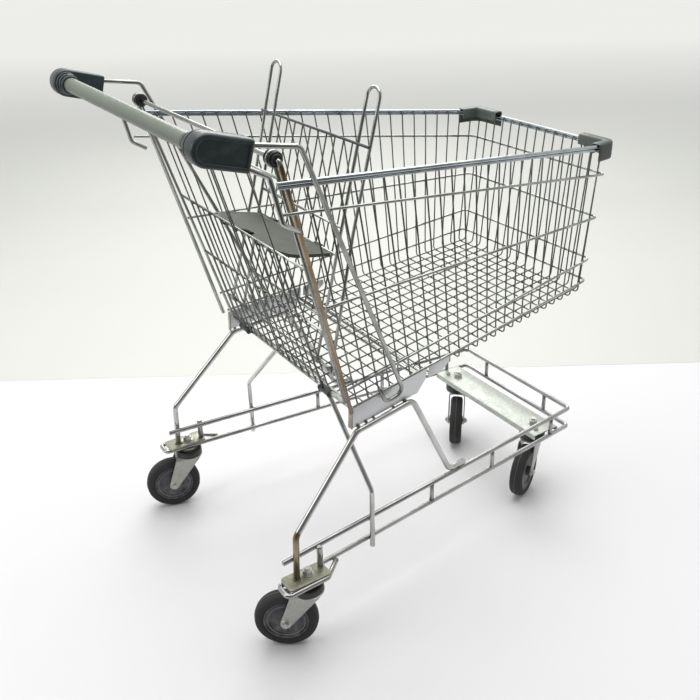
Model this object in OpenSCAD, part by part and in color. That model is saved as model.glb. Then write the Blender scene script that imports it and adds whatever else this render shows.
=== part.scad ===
// Wire shopping trolley with a nesting rear flap, a folding child seat and four swivel casters.
// Millimetres. +X points from the handle to the nose, +Y to the trolley's left, +Z up from the floor.

/* [Handle] */
// Height of the handle tube's axis
handle_z = 986; // [960:1:1010]
// Outside diameter of the handle tube
handle_d = 26; // [24:1:30]
// Half of the distance between the two side wires at the handle
handle_half = 314; // [310:1:320]
// Diameter of the wires that carry the handle
handle_wire_d = 8; // [7:0.5:9]

/* [Basket] */
// Half of the basket's width at the nose
nose_half = 203; // [195:1:210]
// Diameter of the upper rim wire
rim_d = 7; // [6:0.5:8]
// Diameter of the lower rim wire
rim_low_d = 5; // [4:0.5:6]
// Diameter of the hoop wires
hoop_d = 5; // [4.5:0.5:6]
// Diameter of the grille wires
mesh_d = 3; // [2.5:0.1:3.5]
// Number of upright wires on each side
side_count = 25; // [20:1:28]
// Number of upright wires in the nose
nose_count = 15; // [11:2:17]
// Drop of the floor below the lowest hoop
floor_drop = 24; // [22:1:28]

/* [Rear flap and child seat] */
// Diameter of the flap's frame wire
flap_d = 6; // [5:0.5:7]
// Height of the child seat's front hinge wire
seat_hinge_z = 716; // [712:1:720]
// Thickness of the seat panel
seat_t = 6; // [5:0.5:7]
// Diameter of the backrest loop wire
loop_d = 6; // [5:0.5:7]

/* [Chassis] */
// Diameter of the leg tubes
leg_d = 12; // [11:0.5:13]
// Diameter of the two chassis rails
rail_d = 10; // [9:0.5:10.5]
// Height of the upper rail
rail_high_z = 200; // [196:1:204]
// Height of the lower rail
rail_low_z = 152; // [150:0.5:153]

/* [Casters] */
// Wheel diameter
wheel_d = 125; // [120:1:126]
// Tyre width
tyre_w = 30; // [26:1:32]
// Distance from the swivel axis to the wheel axle
caster_trail = 45; // [40:1:48]
// Steer angle of the right rear caster
steer_rear_right = -34; // [-40:1:40]
// Steer angle of the left rear caster
steer_rear_left = -16; // [-16:1:16]
// Steer angle of the right front caster
steer_front_right = 27; // [-40:1:40]
// Steer angle of the left front caster
steer_front_left = 48; // [-50:1:50]

/* [Hidden] */

$fn = 24;
// Shift from the working datum to the middle of the trolley
origin_shift = 8.5;
// Height of the frame's working datum above the floor
lift = 9;
// Gap left between wires that touch on the real object
touch = 0.1;
// A bend is this much thicker than its wire, and the straight runs reach this far into it
fuller = 0.12;
lap = 0.5;

// Handle end caps: distances of the inner and outer faces from the centre, radius, length and pitch
handle_x = -461;
grip_len = 527;
spigot_d = 22;
cap_in = 285;
cap_out = handle_half + 5;
cap_r = 24;
cap_len = 68;
cap_tilt = 16;

// Rear flap: it hangs from the hinge line and leans forward towards its bottom
hinge = [-337, 0, 944];
hinge_rod_d = 8;
hinge_rod_half = 281;
flap_a = 15.5;
flap_len = 499;
flap_bottom_half = 225;
flap_cross_d = 5;
bush_y = 262.5;
bush_d = 15;
eye_d = 25;
leg_border = 155;
seat_wire_down = 200;
clip_y = 162;
clip_len = 36;

// Backrest: its pivot near the flap's bottom, and its plane, which leans the other way
back_pivot = [-213, 0, 523];
back_tan = 0.262;
back_half = 165;
loop_r = 18;
loop_top_z = 999;
back_bar_z = 908;
pivot_d = 6;

// Seat panel, hinged on the backrest's cross wire
seat_hinge = [back_pivot[0] + (seat_hinge_z - back_pivot[2]) * back_tan, 0, seat_hinge_z];
seat_len = 108;
seat_half = 145;
seat_tilt = 12;

// Rear end and nose corner of the rim and of the four hoops on the left side
hoop_rear = [[-353, 300, 917], [-347, 296, 869], [-264, 275, 690], [-217, 257, 512], [-205, 253, 469]];
hoop_nose = [[458, nose_half, 822], [451.5, nose_half, 764], [442.7, nose_half, 675],
    [433.9, nose_half, 585], [429.2, nose_half, 537]];
hoop_corner_r = 14;
post_bottom = [-212, 259, 462];

// Corner bumpers: bend centre, reach along the nose and along the side, lower edge and height
rim_turn = -atan((hoop_rear[0][1] - nose_half) / (hoop_nose[0][0] - hoop_rear[0][0]));
bumper_c = [hoop_nose[0][0] - hoop_corner_r, nose_half - hoop_corner_r];
bumper_nose_arm = 62;
bumper_side_arm = 34;
bumper_z = 798;
bumper_h = 35;
// Outer and inner faces of the bumper from the rim's axis, and its wall
bumper_out = 9;
bumper_in = 12;
bumper_wall = 2;

// Chassis lines on the left side
rail_rear = [-364, 263.5];
rail_nose = [443, 184];
plate_x = -329;
plate_y = 274;
front_x = 376;
// Half width of the front channel between its lips, and the bend height of the main legs
channel_half = 34.5;
front_y = 138;
plate_z = rail_low_z + rail_d / 2 + touch;
plate_t = 3;
leg_y = 273.7;

// Caster proportions
axle_z = wheel_d / 2;
axle_d = 8;
running = 0.05;
fork_gap = tyre_w + 7;
fork_t = 2.5;
fork_top = 134;
cup_d = 60;
bolt_d = 12;

// Left, right, rear and front caster places: [x, y, steer angle]
casters = [[plate_x, -plate_y, steer_rear_right], [plate_x, plate_y, steer_rear_left],
    [front_x, -front_y, steer_front_right], [front_x, front_y, steer_front_left]];

leg_end_z = rail_high_z + (rail_d + leg_d) / 2 + touch;

function unit(v) = v / norm(v);
function lerp(a, b, t) = a + (b - a) * t;
function flip(p) = [p[0], -p[1], p[2]];
// Point of hoop k at a given x on the left side; k = 0 is the rim
function on_hoop(k, x) = lerp(hoop_rear[k], hoop_nose[k],
    (x - hoop_rear[k][0]) / (hoop_nose[k][0] - hoop_rear[k][0]));
function floor_z(x) = on_hoop(4, x)[2] - floor_drop;
function back_x(z) = back_pivot[0] + (z - back_pivot[2]) * back_tan;
function rail_y(x) = lerp(rail_rear[1], rail_nose[1], (x - rail_rear[0]) / (rail_nose[0] - rail_rear[0]));
// Both sides of a left-side line joined across the centre: left rear end to nose to right rear end
function both(p) = concat(p, [for (i = [len(p) - 1 : -1 : 0]) flip(p[i])]);

module rod(a, b, d) {
    v = b - a;
    translate(a) rotate([0, acos(v[2] / norm(v)), atan2(v[1], v[0])]) cylinder(h = norm(v), d = d);
}

// Round wire through points, with every corner bent to radius r
module bent(p, r, d) {
    last = len(p) - 1;
    turn = [for (i = [0 : last]) i == 0 || i == last ? 0
        : acos(unit(p[i] - p[i - 1]) * unit(p[i + 1] - p[i]))];
    cut = [for (i = [0 : last]) r * tan(turn[i] / 2)];
    for (i = [0 : last - 1]) {
        u = unit(p[i + 1] - p[i]);
        rod(p[i] + u * (cut[i] - (i == 0 ? 0 : lap)), p[i + 1] - u * (cut[i + 1] - (i + 1 == last ? 0 : lap)), d);
    }
    for (i = [1 : last - 1]) {
        along = unit(p[i] - p[i - 1]);
        next = unit(p[i + 1] - p[i]);
        centre = p[i] + unit(next - along) * r / cos(turn[i] / 2);
        e1 = unit(p[i] - along * cut[i] - centre);
        e3 = cross(e1, along);
        multmatrix([[e1[0], along[0], e3[0], centre[0]], [e1[1], along[1], e3[1], centre[1]],
            [e1[2], along[2], e3[2], centre[2]], [0, 0, 0, 1]])
            rotate_extrude(angle = turn[i]) translate([r, 0]) circle(d = d + fuller);
    }
}

module mirrored() {
    children();
    mirror([0, 1, 0]) children();
}

// ---- Handle ----
// Grip sleeve between the two end caps, with a thinner end in each cap
module handle_tube() {
    color("darkseagreen") translate([handle_x, 0, handle_z]) rotate([90, 0, 0]) {
        difference() {
            cylinder(h = grip_len, d = handle_d, center = true);
            cylinder(h = grip_len - 60, d = handle_d - 6, center = true);
        }
        for (s = [-1, 1]) translate([0, 0, s * (grip_len / 2 + 10)]) cylinder(h = 20, d = spigot_d, center = true);
    }
}

// End cap with a round back, a flat front and a collar round the handle tube
module handle_cap(side) {
    mid = (cap_in + cap_out) / 2;
    wide = cap_out - cap_in;
    mirror([0, side < 0 ? 1 : 0, 0]) color("darkslategray") difference() {
        union() {
            translate([handle_x, mid, handle_z]) rotate([0, cap_tilt, 0]) {
                rotate([90, 0, 0]) cylinder(h = wide, r = cap_r, center = true);
                translate([0, -wide / 2, -cap_r]) cube([cap_len, wide, 2 * cap_r]);
            }
            translate([handle_x, cap_in + 2, handle_z]) rotate([90, 0, 0])
                cylinder(h = cap_in + 2 - grip_len / 2 - touch, r = 17);
        }
        translate([handle_x, grip_len / 2 + 20.1, handle_z]) rotate([90, 0, 0]) cylinder(h = 40, d = spigot_d + 0.02);
        translate([handle_x, cap_out + 1, handle_z]) rotate([0, cap_tilt, 0]) {
            rotate([90, 0, 0]) cylinder(h = 4, r = cap_r - 6, center = true);
            translate([0, -2, 6 - cap_r]) cube([cap_len - 6, 4, 2 * cap_r - 12]);
        }
    }
}

module handle_wires_upper() {
    color("silver") mirrored()
        bent([[-404, handle_half - 12, 982], [-316, handle_half - 7, 967], [-95, 257, 466], [-137, 256.5, 456],
            [-147, 256.5, 490]], 15, handle_wire_d);
}

module handle_wires_lower() {
    color("silver") mirrored()
        bent([[-410, 302, 955], [-366, 302, 930], [-350, 305, 858], [-322, 303, 840]], 10, handle_wire_d);
}

// ---- Hinge of the rear flap ----
module hinge_rod() {
    color("silver") bent(both([post_bottom, [hinge[0], hinge_rod_half, hinge[2]]]), 7, hinge_rod_d);
}

module hinge_bushes() {
    color("dimgray") mirrored() translate([hinge[0], bush_y, hinge[2]]) rotate([90, 0, 0]) difference() {
        union() {
            cylinder(h = 18, d = 15, center = true);
            translate([0, 0, 6]) cylinder(h = 4, d = 24);
            translate([0, 0, -10]) cylinder(h = 4, d = 24);
        }
        cylinder(h = 30, d = hinge_rod_d + 0.02, center = true);
    }
}

// ---- Basket ----
module hoop(k, d, down = 0) {
    drop = [0, 0, -down];
    bent(both([hoop_rear[k] + drop, hoop_nose[k] + drop]), hoop_corner_r, d);
}

module rim_upper() { color("silver") hoop(0, rim_d); }
module rim_lower() { color("silver") hoop(0, rim_low_d, (rim_d + rim_low_d) / 2 + touch); }
module hoop_1() { color("silver") hoop(1, hoop_d); }
module hoop_2() { color("silver") hoop(2, hoop_d); }
module hoop_3() { color("silver") hoop(3, hoop_d); }
module hoop_4() { color("silver") hoop(4, hoop_d); }

// Upright wires of one side, just inside the hoops, fanned from the leaning rear to the nose
module side_wires() {
    inset = [0, (rim_d + mesh_d) / 2 + touch + 1.2, 0];
    for (i = [0 : side_count - 1]) {
        t = i / (side_count - 1);
        top = on_hoop(0, lerp(-300, 436, t)) - inset;
        low = on_hoop(4, lerp(-186, 412, t)) - inset;
        end_z = floor_z(low[0]) + mesh_d + touch;
        rod(top, lerp(low, top, (end_z - low[2]) / (top[2] - low[2])), mesh_d);
    }
}

module side_wires_right() { color("lightgray") mirror([0, 1, 0]) side_wires(); }
module side_wires_left() { color("lightgray") side_wires(); }

// Upright wires of the nose, just behind the hoops
module nose_wires() {
    half = nose_half - hoop_corner_r - 3;
    color("lightgray") for (i = [0 : nose_count - 1]) {
        y = lerp(-half, half, i / (nose_count - 1));
        top = [hoop_nose[0][0] - (rim_d + mesh_d) / 2 - touch, y, hoop_nose[0][2]];
        low = [hoop_nose[4][0] - (hoop_d + mesh_d) / 2 - touch, y, hoop_nose[4][2]];
        end_z = floor_z(low[0]) + 2 * mesh_d + 2 * touch;
        rod(top, lerp(low, top, (end_z - low[2]) / (top[2] - low[2])), mesh_d);
    }
}

module floor_cross_wires() {
    color("lightgray") for (i = [0 : side_count - 1]) {
        x = lerp(-186, 412, i / (side_count - 1));
        y = on_hoop(4, x)[1] - 5;
        rod([x, -y, floor_z(x)], [x, y, floor_z(x)], mesh_d);
    }
}

module floor_long_wires() {
    lift = mesh_d + touch;
    front = hoop_nose[4][0] - 5;
    half = nose_half - hoop_corner_r - 3;
    color("lightgray") for (i = [0 : nose_count - 1]) {
        y = lerp(-half, half, i / (nose_count - 1));
        rod([-189, y * 1.22, floor_z(-189) + lift], [front, y, floor_z(front) + lift], mesh_d);
    }
}

// Heavy rods that carry the floor across the two side plates, and the floor's rear edge
module floor_support_rods() {
    color("silver") for (x = [-188, -34, -20]) {
        z = floor_z(x) - (mesh_d + 8) / 2 - touch;
        y = on_hoop(4, x)[1] - 8;
        rod([x + 4, -y, z], [x + 4, y, z], 8);
    }
}

// Area inside a line that runs at a distance outside the rim's nose corner
module inside_corner(out) {
    r = hoop_corner_r + out;
    translate(bumper_c) circle(r = r);
    translate(bumper_c - [60, bumper_nose_arm]) square([60 + r, bumper_nose_arm]);
    translate(bumper_c) rotate(rim_turn) translate([-bumper_side_arm, -60]) square([bumper_side_arm, 60 + r]);
}

// Moulded cover over one nose corner of the rim, open below for the grille wires
module corner_bumper() {
    color("dimgray") difference() {
        translate([0, 0, bumper_z]) linear_extrude(bumper_h) difference() {
            inside_corner(bumper_out);
            inside_corner(-bumper_in);
        }
        translate([0, 0, bumper_z - bumper_wall]) linear_extrude(bumper_h) difference() {
            inside_corner(bumper_out - bumper_wall);
            inside_corner(bumper_wall - bumper_in);
        }
    }
}

module corner_bumper_right() { mirror([0, 1, 0]) corner_bumper(); }
module corner_bumper_left() { corner_bumper(); }

// ---- Chassis ----
// Upright sheet between the lowest hoop and the leg tube, with a second small piece in front
module side_plates() {
    back = hoop_rear[4];
    turn = atan((on_hoop(4, 34)[1] - back[1]) / (34 - back[0]));
    outline = [[0, 423], [2, 466], [181, 485], [178, 462], [157, 437], [145, 437]];
    front = [[185, 462], [187, 485.5], [239, 491], [239, 478], [217, 462]];
    color("gainsboro") mirrored() translate([back[0], back[1] - hoop_d / 2 - touch, 0]) rotate([90, 0, turn]) {
        linear_extrude(2) polygon(outline);
        linear_extrude(2) polygon(front);
    }
}

module main_leg() {
    color("silver") bent([[-352, leg_y, plate_z + plate_t + 0.3], [-348, leg_y, 257], [-197, 251, 414], [-64, 243, 430],
        [50, 221, leg_end_z], [96, 217, leg_end_z]], 22, leg_d);
}

module main_leg_right() { mirror([0, 1, 0]) main_leg(); }
module main_leg_left() { main_leg(); }

module cross_leg_frame() {
    side = rail_y(-168) + (rail_d + 10) / 2 + touch;
    color("silver") bent(both([[-168, side, 134], [-168, side, 270], [-168, 82, 442]]), 20, 10);
}

module rail_upper() {
    color("silver") bent(both([[-374, rail_y(-374), rail_high_z], [rail_nose[0], rail_nose[1], rail_high_z]]),
        9, rail_d);
}

module rail_lower() {
    run = plate_y + 26;
    color("silver") bent(both([[-258, 263.2, rail_low_z], [-298, run - 3, rail_low_z], [-386, run, rail_low_z],
        [-386, rail_y(-386), rail_low_z], [rail_nose[0], rail_nose[1], rail_low_z]]), 9, rail_d);
}

module rail_struts() {
    low = rail_low_z + rail_d / 2 + touch;
    high = rail_high_z - rail_d / 2 - touch;
    post_d = 12;
    post_y = rail_y(-297) + (rail_d + post_d) / 2 + touch;
    color("silver") {
        mirrored() for (x = [1, 183, 380]) rod([x, rail_y(x), low], [x, rail_y(x), high], 9);
        mirrored() rod([443, 104, low], [443, 104, high], 9);
        mirrored() rod([-297, post_y, plate_z + plate_t + touch], [-297, post_y, rail_high_z + 6], post_d);
    }
}

// Folded cross channel that carries the two front casters
module front_caster_plate() {
    half = 181.3;
    lip = 2.5;
    wide = channel_half + lip;
    color("darkseagreen") difference() {
        union() {
            translate([front_x - wide, -half, plate_z]) cube([2 * wide, 2 * half, plate_t]);
            for (x = [front_x - wide, front_x + channel_half]) translate([x, -half, plate_z - 9])
                cube([lip, 2 * half, 10]);
        }
        for (s = [-1, 1]) translate([front_x, s * front_y, plate_z - 1]) cylinder(h = 6, d = bolt_d + 0.02);
    }
}

module rear_caster_plates() {
    color("silver") mirrored() difference() {
        translate([plate_x - 50, plate_y - 18, plate_z]) cube([89, 41, plate_t]);
        translate([plate_x, plate_y, plate_z - 1]) cylinder(h = 6, d = bolt_d + 0.02);
    }
}

// Moves the working datum so that the trolley's box is centred and the frame stands on its casters
module centred() { translate([origin_shift, 0, lift]) children(); }

// The same move for the casters, which are drawn from the floor
module rolling() { translate([origin_shift, 0, 0]) children(); }

module at_caster(k) {
    translate([casters[k][0], casters[k][1], 0]) rotate(casters[k][2]) children();
}

// Swivel bolts with their nuts above the plates and shoulders below them
module caster_bolts() {
    top = plate_z + plate_t + lift;
    color("silver") for (k = [0 : 3]) at_caster(k) {
        translate([0, 0, fork_top - 8]) cylinder(h = 4.4, d = 26);
        translate([0, 0, fork_top - 4]) cylinder(h = top - fork_top + 14, d = bolt_d);
        translate([0, 0, top]) cylinder(h = 9, d = 19, $fn = 6);
    }
}

// Black cups that cover the swivel bearings, fixed under the plates
module dust_cups() {
    r = cup_d / 2;
    low = fork_top + 0.6;
    brim = fork_top + 15;
    top = plate_z + lift;
    step = top - rail_d - 0.5;
    color("black") for (k = [0 : 3]) at_caster(k) rotate_extrude()
        polygon([[bolt_d / 2 + 0.01, top], [8.5, top], [8.5, step], [20, step], [20, brim], [r - 3, brim],
            [r, brim - 3], [r, low], [r - 2.3, low], [r - 2.3, brim - 4], [13, brim - 4], [13, fork_top + 0.3],
            [bolt_d / 2 + 0.01, fork_top + 0.3]]);
}

// Pressed fork: a round head under the cup and two tapered cheeks beside the wheel
module fork() {
    color("lightgray") difference() {
        union() {
            translate([0, 0, fork_top - 3]) cylinder(h = 3, d = cup_d + 2);
            for (s = [-1, 1]) translate([0, s * (fork_gap + fork_t) / 2, 0]) rotate([90, 0, 0])
                linear_extrude(fork_t, center = true) union() {
                    polygon([[24, fork_top - 3], [-33, fork_top - 3], [-caster_trail - 10, axle_z + 5],
                        [-caster_trail + 7, axle_z - 8.4]]);
                    translate([-caster_trail, axle_z]) circle(r = 11);
                }
        }
        translate([0, 0, fork_top - 5]) cylinder(h = 10, d = bolt_d + 2 * running);
        translate([-caster_trail, 0, axle_z]) rotate([90, 0, 0])
            cylinder(h = 80, d = axle_d + 0.02, center = true);
    }
}

module axle() {
    half = fork_gap / 2 + fork_t;
    color("silver") translate([-caster_trail, 0, axle_z]) rotate([90, 0, 0]) {
        cylinder(h = 2 * half + 8, d = axle_d, center = true);
        translate([0, 0, half]) cylinder(h = 5, d = 14, $fn = 6);
        translate([0, 0, -half - 5]) cylinder(h = 5, d = 14, $fn = 6);
    }
}

module hub() {
    rim_r = wheel_d / 2 - 18;
    color("slategray") translate([-caster_trail, 0, axle_z]) rotate([90, 0, 0]) rotate_extrude()
        polygon([[axle_d / 2 + running, -17.5], [11, -17.5], [12, -10], [rim_r - 8, -10], [rim_r - 5, -13],
            [rim_r, -13], [rim_r, 13], [rim_r - 5, 13], [rim_r - 8, 10], [12, 10], [11, 17.5],
            [axle_d / 2 + running, 17.5]]);
}

module tyre() {
    bead_r = wheel_d / 2 - 18;
    crown_r = wheel_d / 2;
    half = tyre_w / 2;
    color("#202020") translate([-caster_trail, 0, axle_z]) rotate([90, 0, 0]) rotate_extrude()
        polygon([[bead_r, -12], [bead_r + 3, -half], [crown_r - 8, -half], [crown_r - 3, -half + 3],
            [crown_r - 0.6, -half + 8], [crown_r, -2], [crown_r, 2], [crown_r - 0.6, half - 8],
            [crown_r - 3, half - 3], [crown_r - 8, half], [bead_r + 3, half], [bead_r, 12]]);
}

// ---- Rear flap ----
// Point of the flap at a distance down its plane and a distance in front of it
function on_flap(y, down, ahead = 0) = hinge + [sin(flap_a), 0, -cos(flap_a)] * down
    + [cos(flap_a), 0, sin(flap_a)] * ahead + [0, y, 0];

// Side wires with an eye round each bush
module flap_frame() {
    color("silver") mirrored() difference() {
        union() {
            translate(hinge + [0, bush_y, 0]) rotate([90, 0, 0]) cylinder(h = flap_d, d = eye_d, center = true);
            rod(on_flap(bush_y, eye_d / 2 - 2), on_flap(flap_bottom_half, flap_len - 6), flap_d);
        }
        translate(hinge + [0, bush_y, 0]) rotate([90, 0, 0])
            cylinder(h = 20, d = bush_d + 2 * running, center = true);
    }
}

// Upright wires on the handle side: a close central pair, a border wire beside each leg opening
// and a denser row below the seat
module flap_wires() {
    behind = -(flap_cross_d + mesh_d) / 2 - touch;
    top = 30;
    low = flap_len - 8;
    color("lightgray") {
        mirrored() rod(on_flap(5, top, behind), on_flap(5, low, behind), mesh_d);
        mirrored() rod(on_flap(leg_border, top, behind), on_flap(leg_border, low, behind), mesh_d);
        mirrored() for (i = [1 : 7]) rod(on_flap(5 + i * 25.5, seat_wire_down - 4, behind),
            on_flap(5 + i * 25.5, low, behind), mesh_d);
    }
}

// Cross wires in the flap's plane: under the bushes, under the seat's rear edge and halfway down
module flap_cross_wires() {
    color("silver") for (down = [34, seat_wire_down, 330]) {
        half = lerp(bush_y, flap_bottom_half, down / flap_len) - flap_d / 2 - touch;
        rod(on_flap(-half, down), on_flap(half, down), flap_cross_d);
    }
}

// Heavy bottom rod, a thin rod above it and the short rungs between them
module flap_bottom_rods() {
    half = flap_bottom_half - flap_d / 2 - touch;
    color("silver") {
        rod(on_flap(-half, flap_len), on_flap(half, flap_len), 8);
        rod(on_flap(-half, flap_len - 16), on_flap(half, flap_len - 16), flap_cross_d);
        for (i = [-6 : 6]) rod(on_flap(i * 25, flap_len - 14.5), on_flap(i * 25, flap_len - 3), mesh_d);
    }
}

// Rod in front of the flap that the backrest folds on, with the stubs that hold it
module flap_pivot_rod() {
    ahead = (back_pivot - hinge) * [cos(flap_a), 0, sin(flap_a)];
    down = (back_pivot - hinge) * [sin(flap_a), 0, -cos(flap_a)];
    color("silver") {
        rod(back_pivot - [0, 216, 0], back_pivot + [0, 216, 0], pivot_d);
        mirrored() rod(on_flap(212, down, 2), on_flap(212, down, ahead), pivot_d - 1);
    }
}

// Moulded bumpers snapped over the bottom rod
module flap_clips() {
    color("darkslategray") mirrored() translate(on_flap(clip_y, flap_len)) rotate([0, -flap_a, 0]) difference() {
        translate([-10, -clip_len / 2, -8]) cube([18, clip_len, 14]);
        rotate([90, 0, 0]) cylinder(h = clip_len + 2, d = 8.04, center = true);
    }
}

// ---- Child seat ----
// Moulded panel with three knuckles on the backrest's cross wire and two rear lobes
module seat_panel() {
    knuckles = [-84, 0, 84];
    knuckle_len = 22;
    front = -4;
    color("gray") translate(seat_hinge) rotate([0, seat_tilt, 0]) difference() {
        union() {
            translate([-seat_len, 0, 2 - seat_t]) linear_extrude(seat_t) offset(r = 6) offset(delta = -6)
                polygon([[0, -108], [14, -138], [22, -seat_half], [seat_len + front, -seat_half + 6],
                    [seat_len + front, seat_half - 6], [22, seat_half], [14, 138], [0, 108], [0, 26], [16, 12],
                    [16, -12], [0, -26]]);
            for (y = knuckles) {
                translate([0, y, 0]) rotate([90, 0, 0]) cylinder(h = knuckle_len, d = 10, center = true);
                translate([front - 6, y - knuckle_len / 2, 2 - seat_t]) cube([8, knuckle_len, seat_t]);
            }
            for (y = [-92, -44, 44, 92]) translate([-seat_len + 2, y - 6, -9]) cube([5, 12, 6]);
        }
        rotate([90, 0, 0]) cylinder(h = 2 * seat_half + 20, d = flap_cross_d + 2 * running, center = true);
    }
}

// Tall loops with rounded tops and sleeves round the pivot rod
module backrest_loops() {
    low = pivot_d / 2 + 1.5;
    foot = back_pivot + [low * back_tan, 0, low];
    outer = back_half + loop_r;
    inner = back_half - loop_r;
    color("silver") mirrored() difference() {
        union() {
            bent([foot + [0, outer + 14, 0], [back_x(760), outer, 760], [back_x(loop_top_z), outer, loop_top_z],
                [back_x(loop_top_z), inner, loop_top_z], foot + [0, inner, 0]], loop_r - 1, loop_d);
            for (y = [outer + 14, inner]) translate(back_pivot + [0, y, 0]) rotate([90, 0, 0])
                cylinder(h = 14, d = pivot_d + 5, center = true);
        }
        translate(back_pivot) rotate([90, 0, 0]) cylinder(h = 500, d = pivot_d + 2 * running, center = true);
    }
}

module backrest_crossbar() {
    half = back_half + loop_r + 4;
    x = back_x(back_bar_z) - (loop_d + 5) / 2 - touch;
    color("dimgray") rod([x, -half, back_bar_z], [x, half, back_bar_z], 5);
}

// Cross wires between the loops: under the seat's front edge, above it and near the foot
module backrest_cross_wires() {
    half = back_half - loop_r - loop_d / 2 - touch;
    color("silver") for (z = [seat_hinge_z, 764, 600]) rod([back_x(z), -half, z], [back_x(z), half, z], flap_cross_d);
}

// Thin upright wires on the basket side of the backrest
module backrest_wires() {
    ahead = (flap_cross_d + mesh_d) / 2 + touch;
    top = back_bar_z - 2;
    low = back_pivot[2] + 14;
    color("lightgray") for (i = [-4.5 : 4.5]) rod([back_x(top) + ahead, i * 28, top],
        [back_x(low) + ahead, i * 28, low], mesh_d);
}

centred() handle_tube();
centred() handle_cap(-1);  // handle_cap_right
centred() handle_cap(1);  // handle_cap_left
centred() handle_wires_upper();
centred() handle_wires_lower();
centred() hinge_rod();
centred() hinge_bushes();
centred() rim_upper();
centred() rim_lower();
centred() hoop_1();
centred() hoop_2();
centred() hoop_3();
centred() hoop_4();
centred() side_wires_right();
centred() side_wires_left();
centred() nose_wires();
centred() floor_cross_wires();
centred() floor_long_wires();
centred() floor_support_rods();
centred() corner_bumper_right();
centred() corner_bumper_left();
centred() side_plates();
centred() main_leg_right();
centred() main_leg_left();
centred() cross_leg_frame();
centred() rail_upper();
centred() rail_lower();
centred() rail_struts();
centred() front_caster_plate();
centred() rear_caster_plates();
rolling() caster_bolts();
rolling() dust_cups();
centred() flap_frame();
centred() flap_wires();
centred() flap_cross_wires();
centred() flap_bottom_rods();
centred() flap_pivot_rod();
centred() flap_clips();
centred() seat_panel();
centred() backrest_loops();
centred() backrest_crossbar();
centred() backrest_cross_wires();
centred() backrest_wires();
rolling() at_caster(0) fork();  // fork_rear_right
rolling() at_caster(1) fork();  // fork_rear_left
rolling() at_caster(2) fork();  // fork_front_right
rolling() at_caster(3) fork();  // fork_front_left
rolling() at_caster(0) axle();  // axle_rear_right
rolling() at_caster(1) axle();  // axle_rear_left
rolling() at_caster(2) axle();  // axle_front_right
rolling() at_caster(3) axle();  // axle_front_left
rolling() at_caster(0) hub();  // hub_rear_right
rolling() at_caster(1) hub();  // hub_rear_left
rolling() at_caster(2) hub();  // hub_front_right
rolling() at_caster(3) hub();  // hub_front_left
rolling() at_caster(0) tyre();  // tyre_rear_right
rolling() at_caster(1) tyre();  // tyre_rear_left
rolling() at_caster(2) tyre();  // tyre_front_right
rolling() at_caster(3) tyre();  // tyre_front_left
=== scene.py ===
"""Wire shopping trolley with a nesting rear flap, folding child seat and four swivel casters.

Sizes are millimetres in the working frame of the part (+X to the nose, +Y to the trolley's left,
+Z up from a datum a little above the floor); they become metres in the row frame when a mesh is
finished.
"""

import logging
import math
from collections.abc import Callable, Sequence
from dataclasses import dataclass, field
from enum import Enum

import bmesh
import bpy
from mathutils import Matrix, Vector


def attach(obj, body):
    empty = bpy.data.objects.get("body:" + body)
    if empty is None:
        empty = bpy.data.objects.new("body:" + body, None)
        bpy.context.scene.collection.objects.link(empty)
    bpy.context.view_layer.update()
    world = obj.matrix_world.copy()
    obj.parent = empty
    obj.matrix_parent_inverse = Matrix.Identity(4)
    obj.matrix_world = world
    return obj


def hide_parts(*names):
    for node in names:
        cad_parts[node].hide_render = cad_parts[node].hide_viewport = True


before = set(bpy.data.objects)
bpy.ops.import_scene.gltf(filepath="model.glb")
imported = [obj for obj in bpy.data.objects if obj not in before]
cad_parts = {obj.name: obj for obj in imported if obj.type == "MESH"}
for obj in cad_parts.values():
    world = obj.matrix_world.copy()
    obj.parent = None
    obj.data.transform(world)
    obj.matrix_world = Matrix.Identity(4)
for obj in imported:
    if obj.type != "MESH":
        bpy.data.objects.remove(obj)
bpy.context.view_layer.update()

LOG = logging.getLogger("trolley")
METRES = 0.001
ORIGIN_SHIFT = 8.5
LIFT = 9.0

Point = tuple[float, float, float]
Flat = tuple[float, float]
SocketValue = bpy.types.NodeSocket | float | Point


def lerp(a: Sequence[float], b: Sequence[float], t: float) -> tuple[float, ...]:
    """Point part of the way from a to b.

    Args:
        a: First point.
        b: Second point.
        t: Share of the way, 0 at a and 1 at b.

    Returns:
        The point.
    """
    return tuple(p + (q - p) * t for p, q in zip(a, b))


def flip(point: Point) -> Point:
    """The same point on the other side of the trolley.

    Args:
        point: Point on either side.

    Returns:
        Its mirror image.
    """
    return (point[0], -point[1], point[2])


def across(points: Sequence[Point]) -> list[Point]:
    """Joins a left-side line to its mirror image, from left rear to right rear.

    Args:
        points: Line on the left side.

    Returns:
        The whole line.
    """
    return [*points, *(flip(p) for p in reversed(points))]


def row_place() -> Matrix:
    """Working millimetres to metres in the row frame."""
    return Matrix.Scale(METRES, 4) @ Matrix.Translation((ORIGIN_SHIFT, 0, LIFT))


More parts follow.
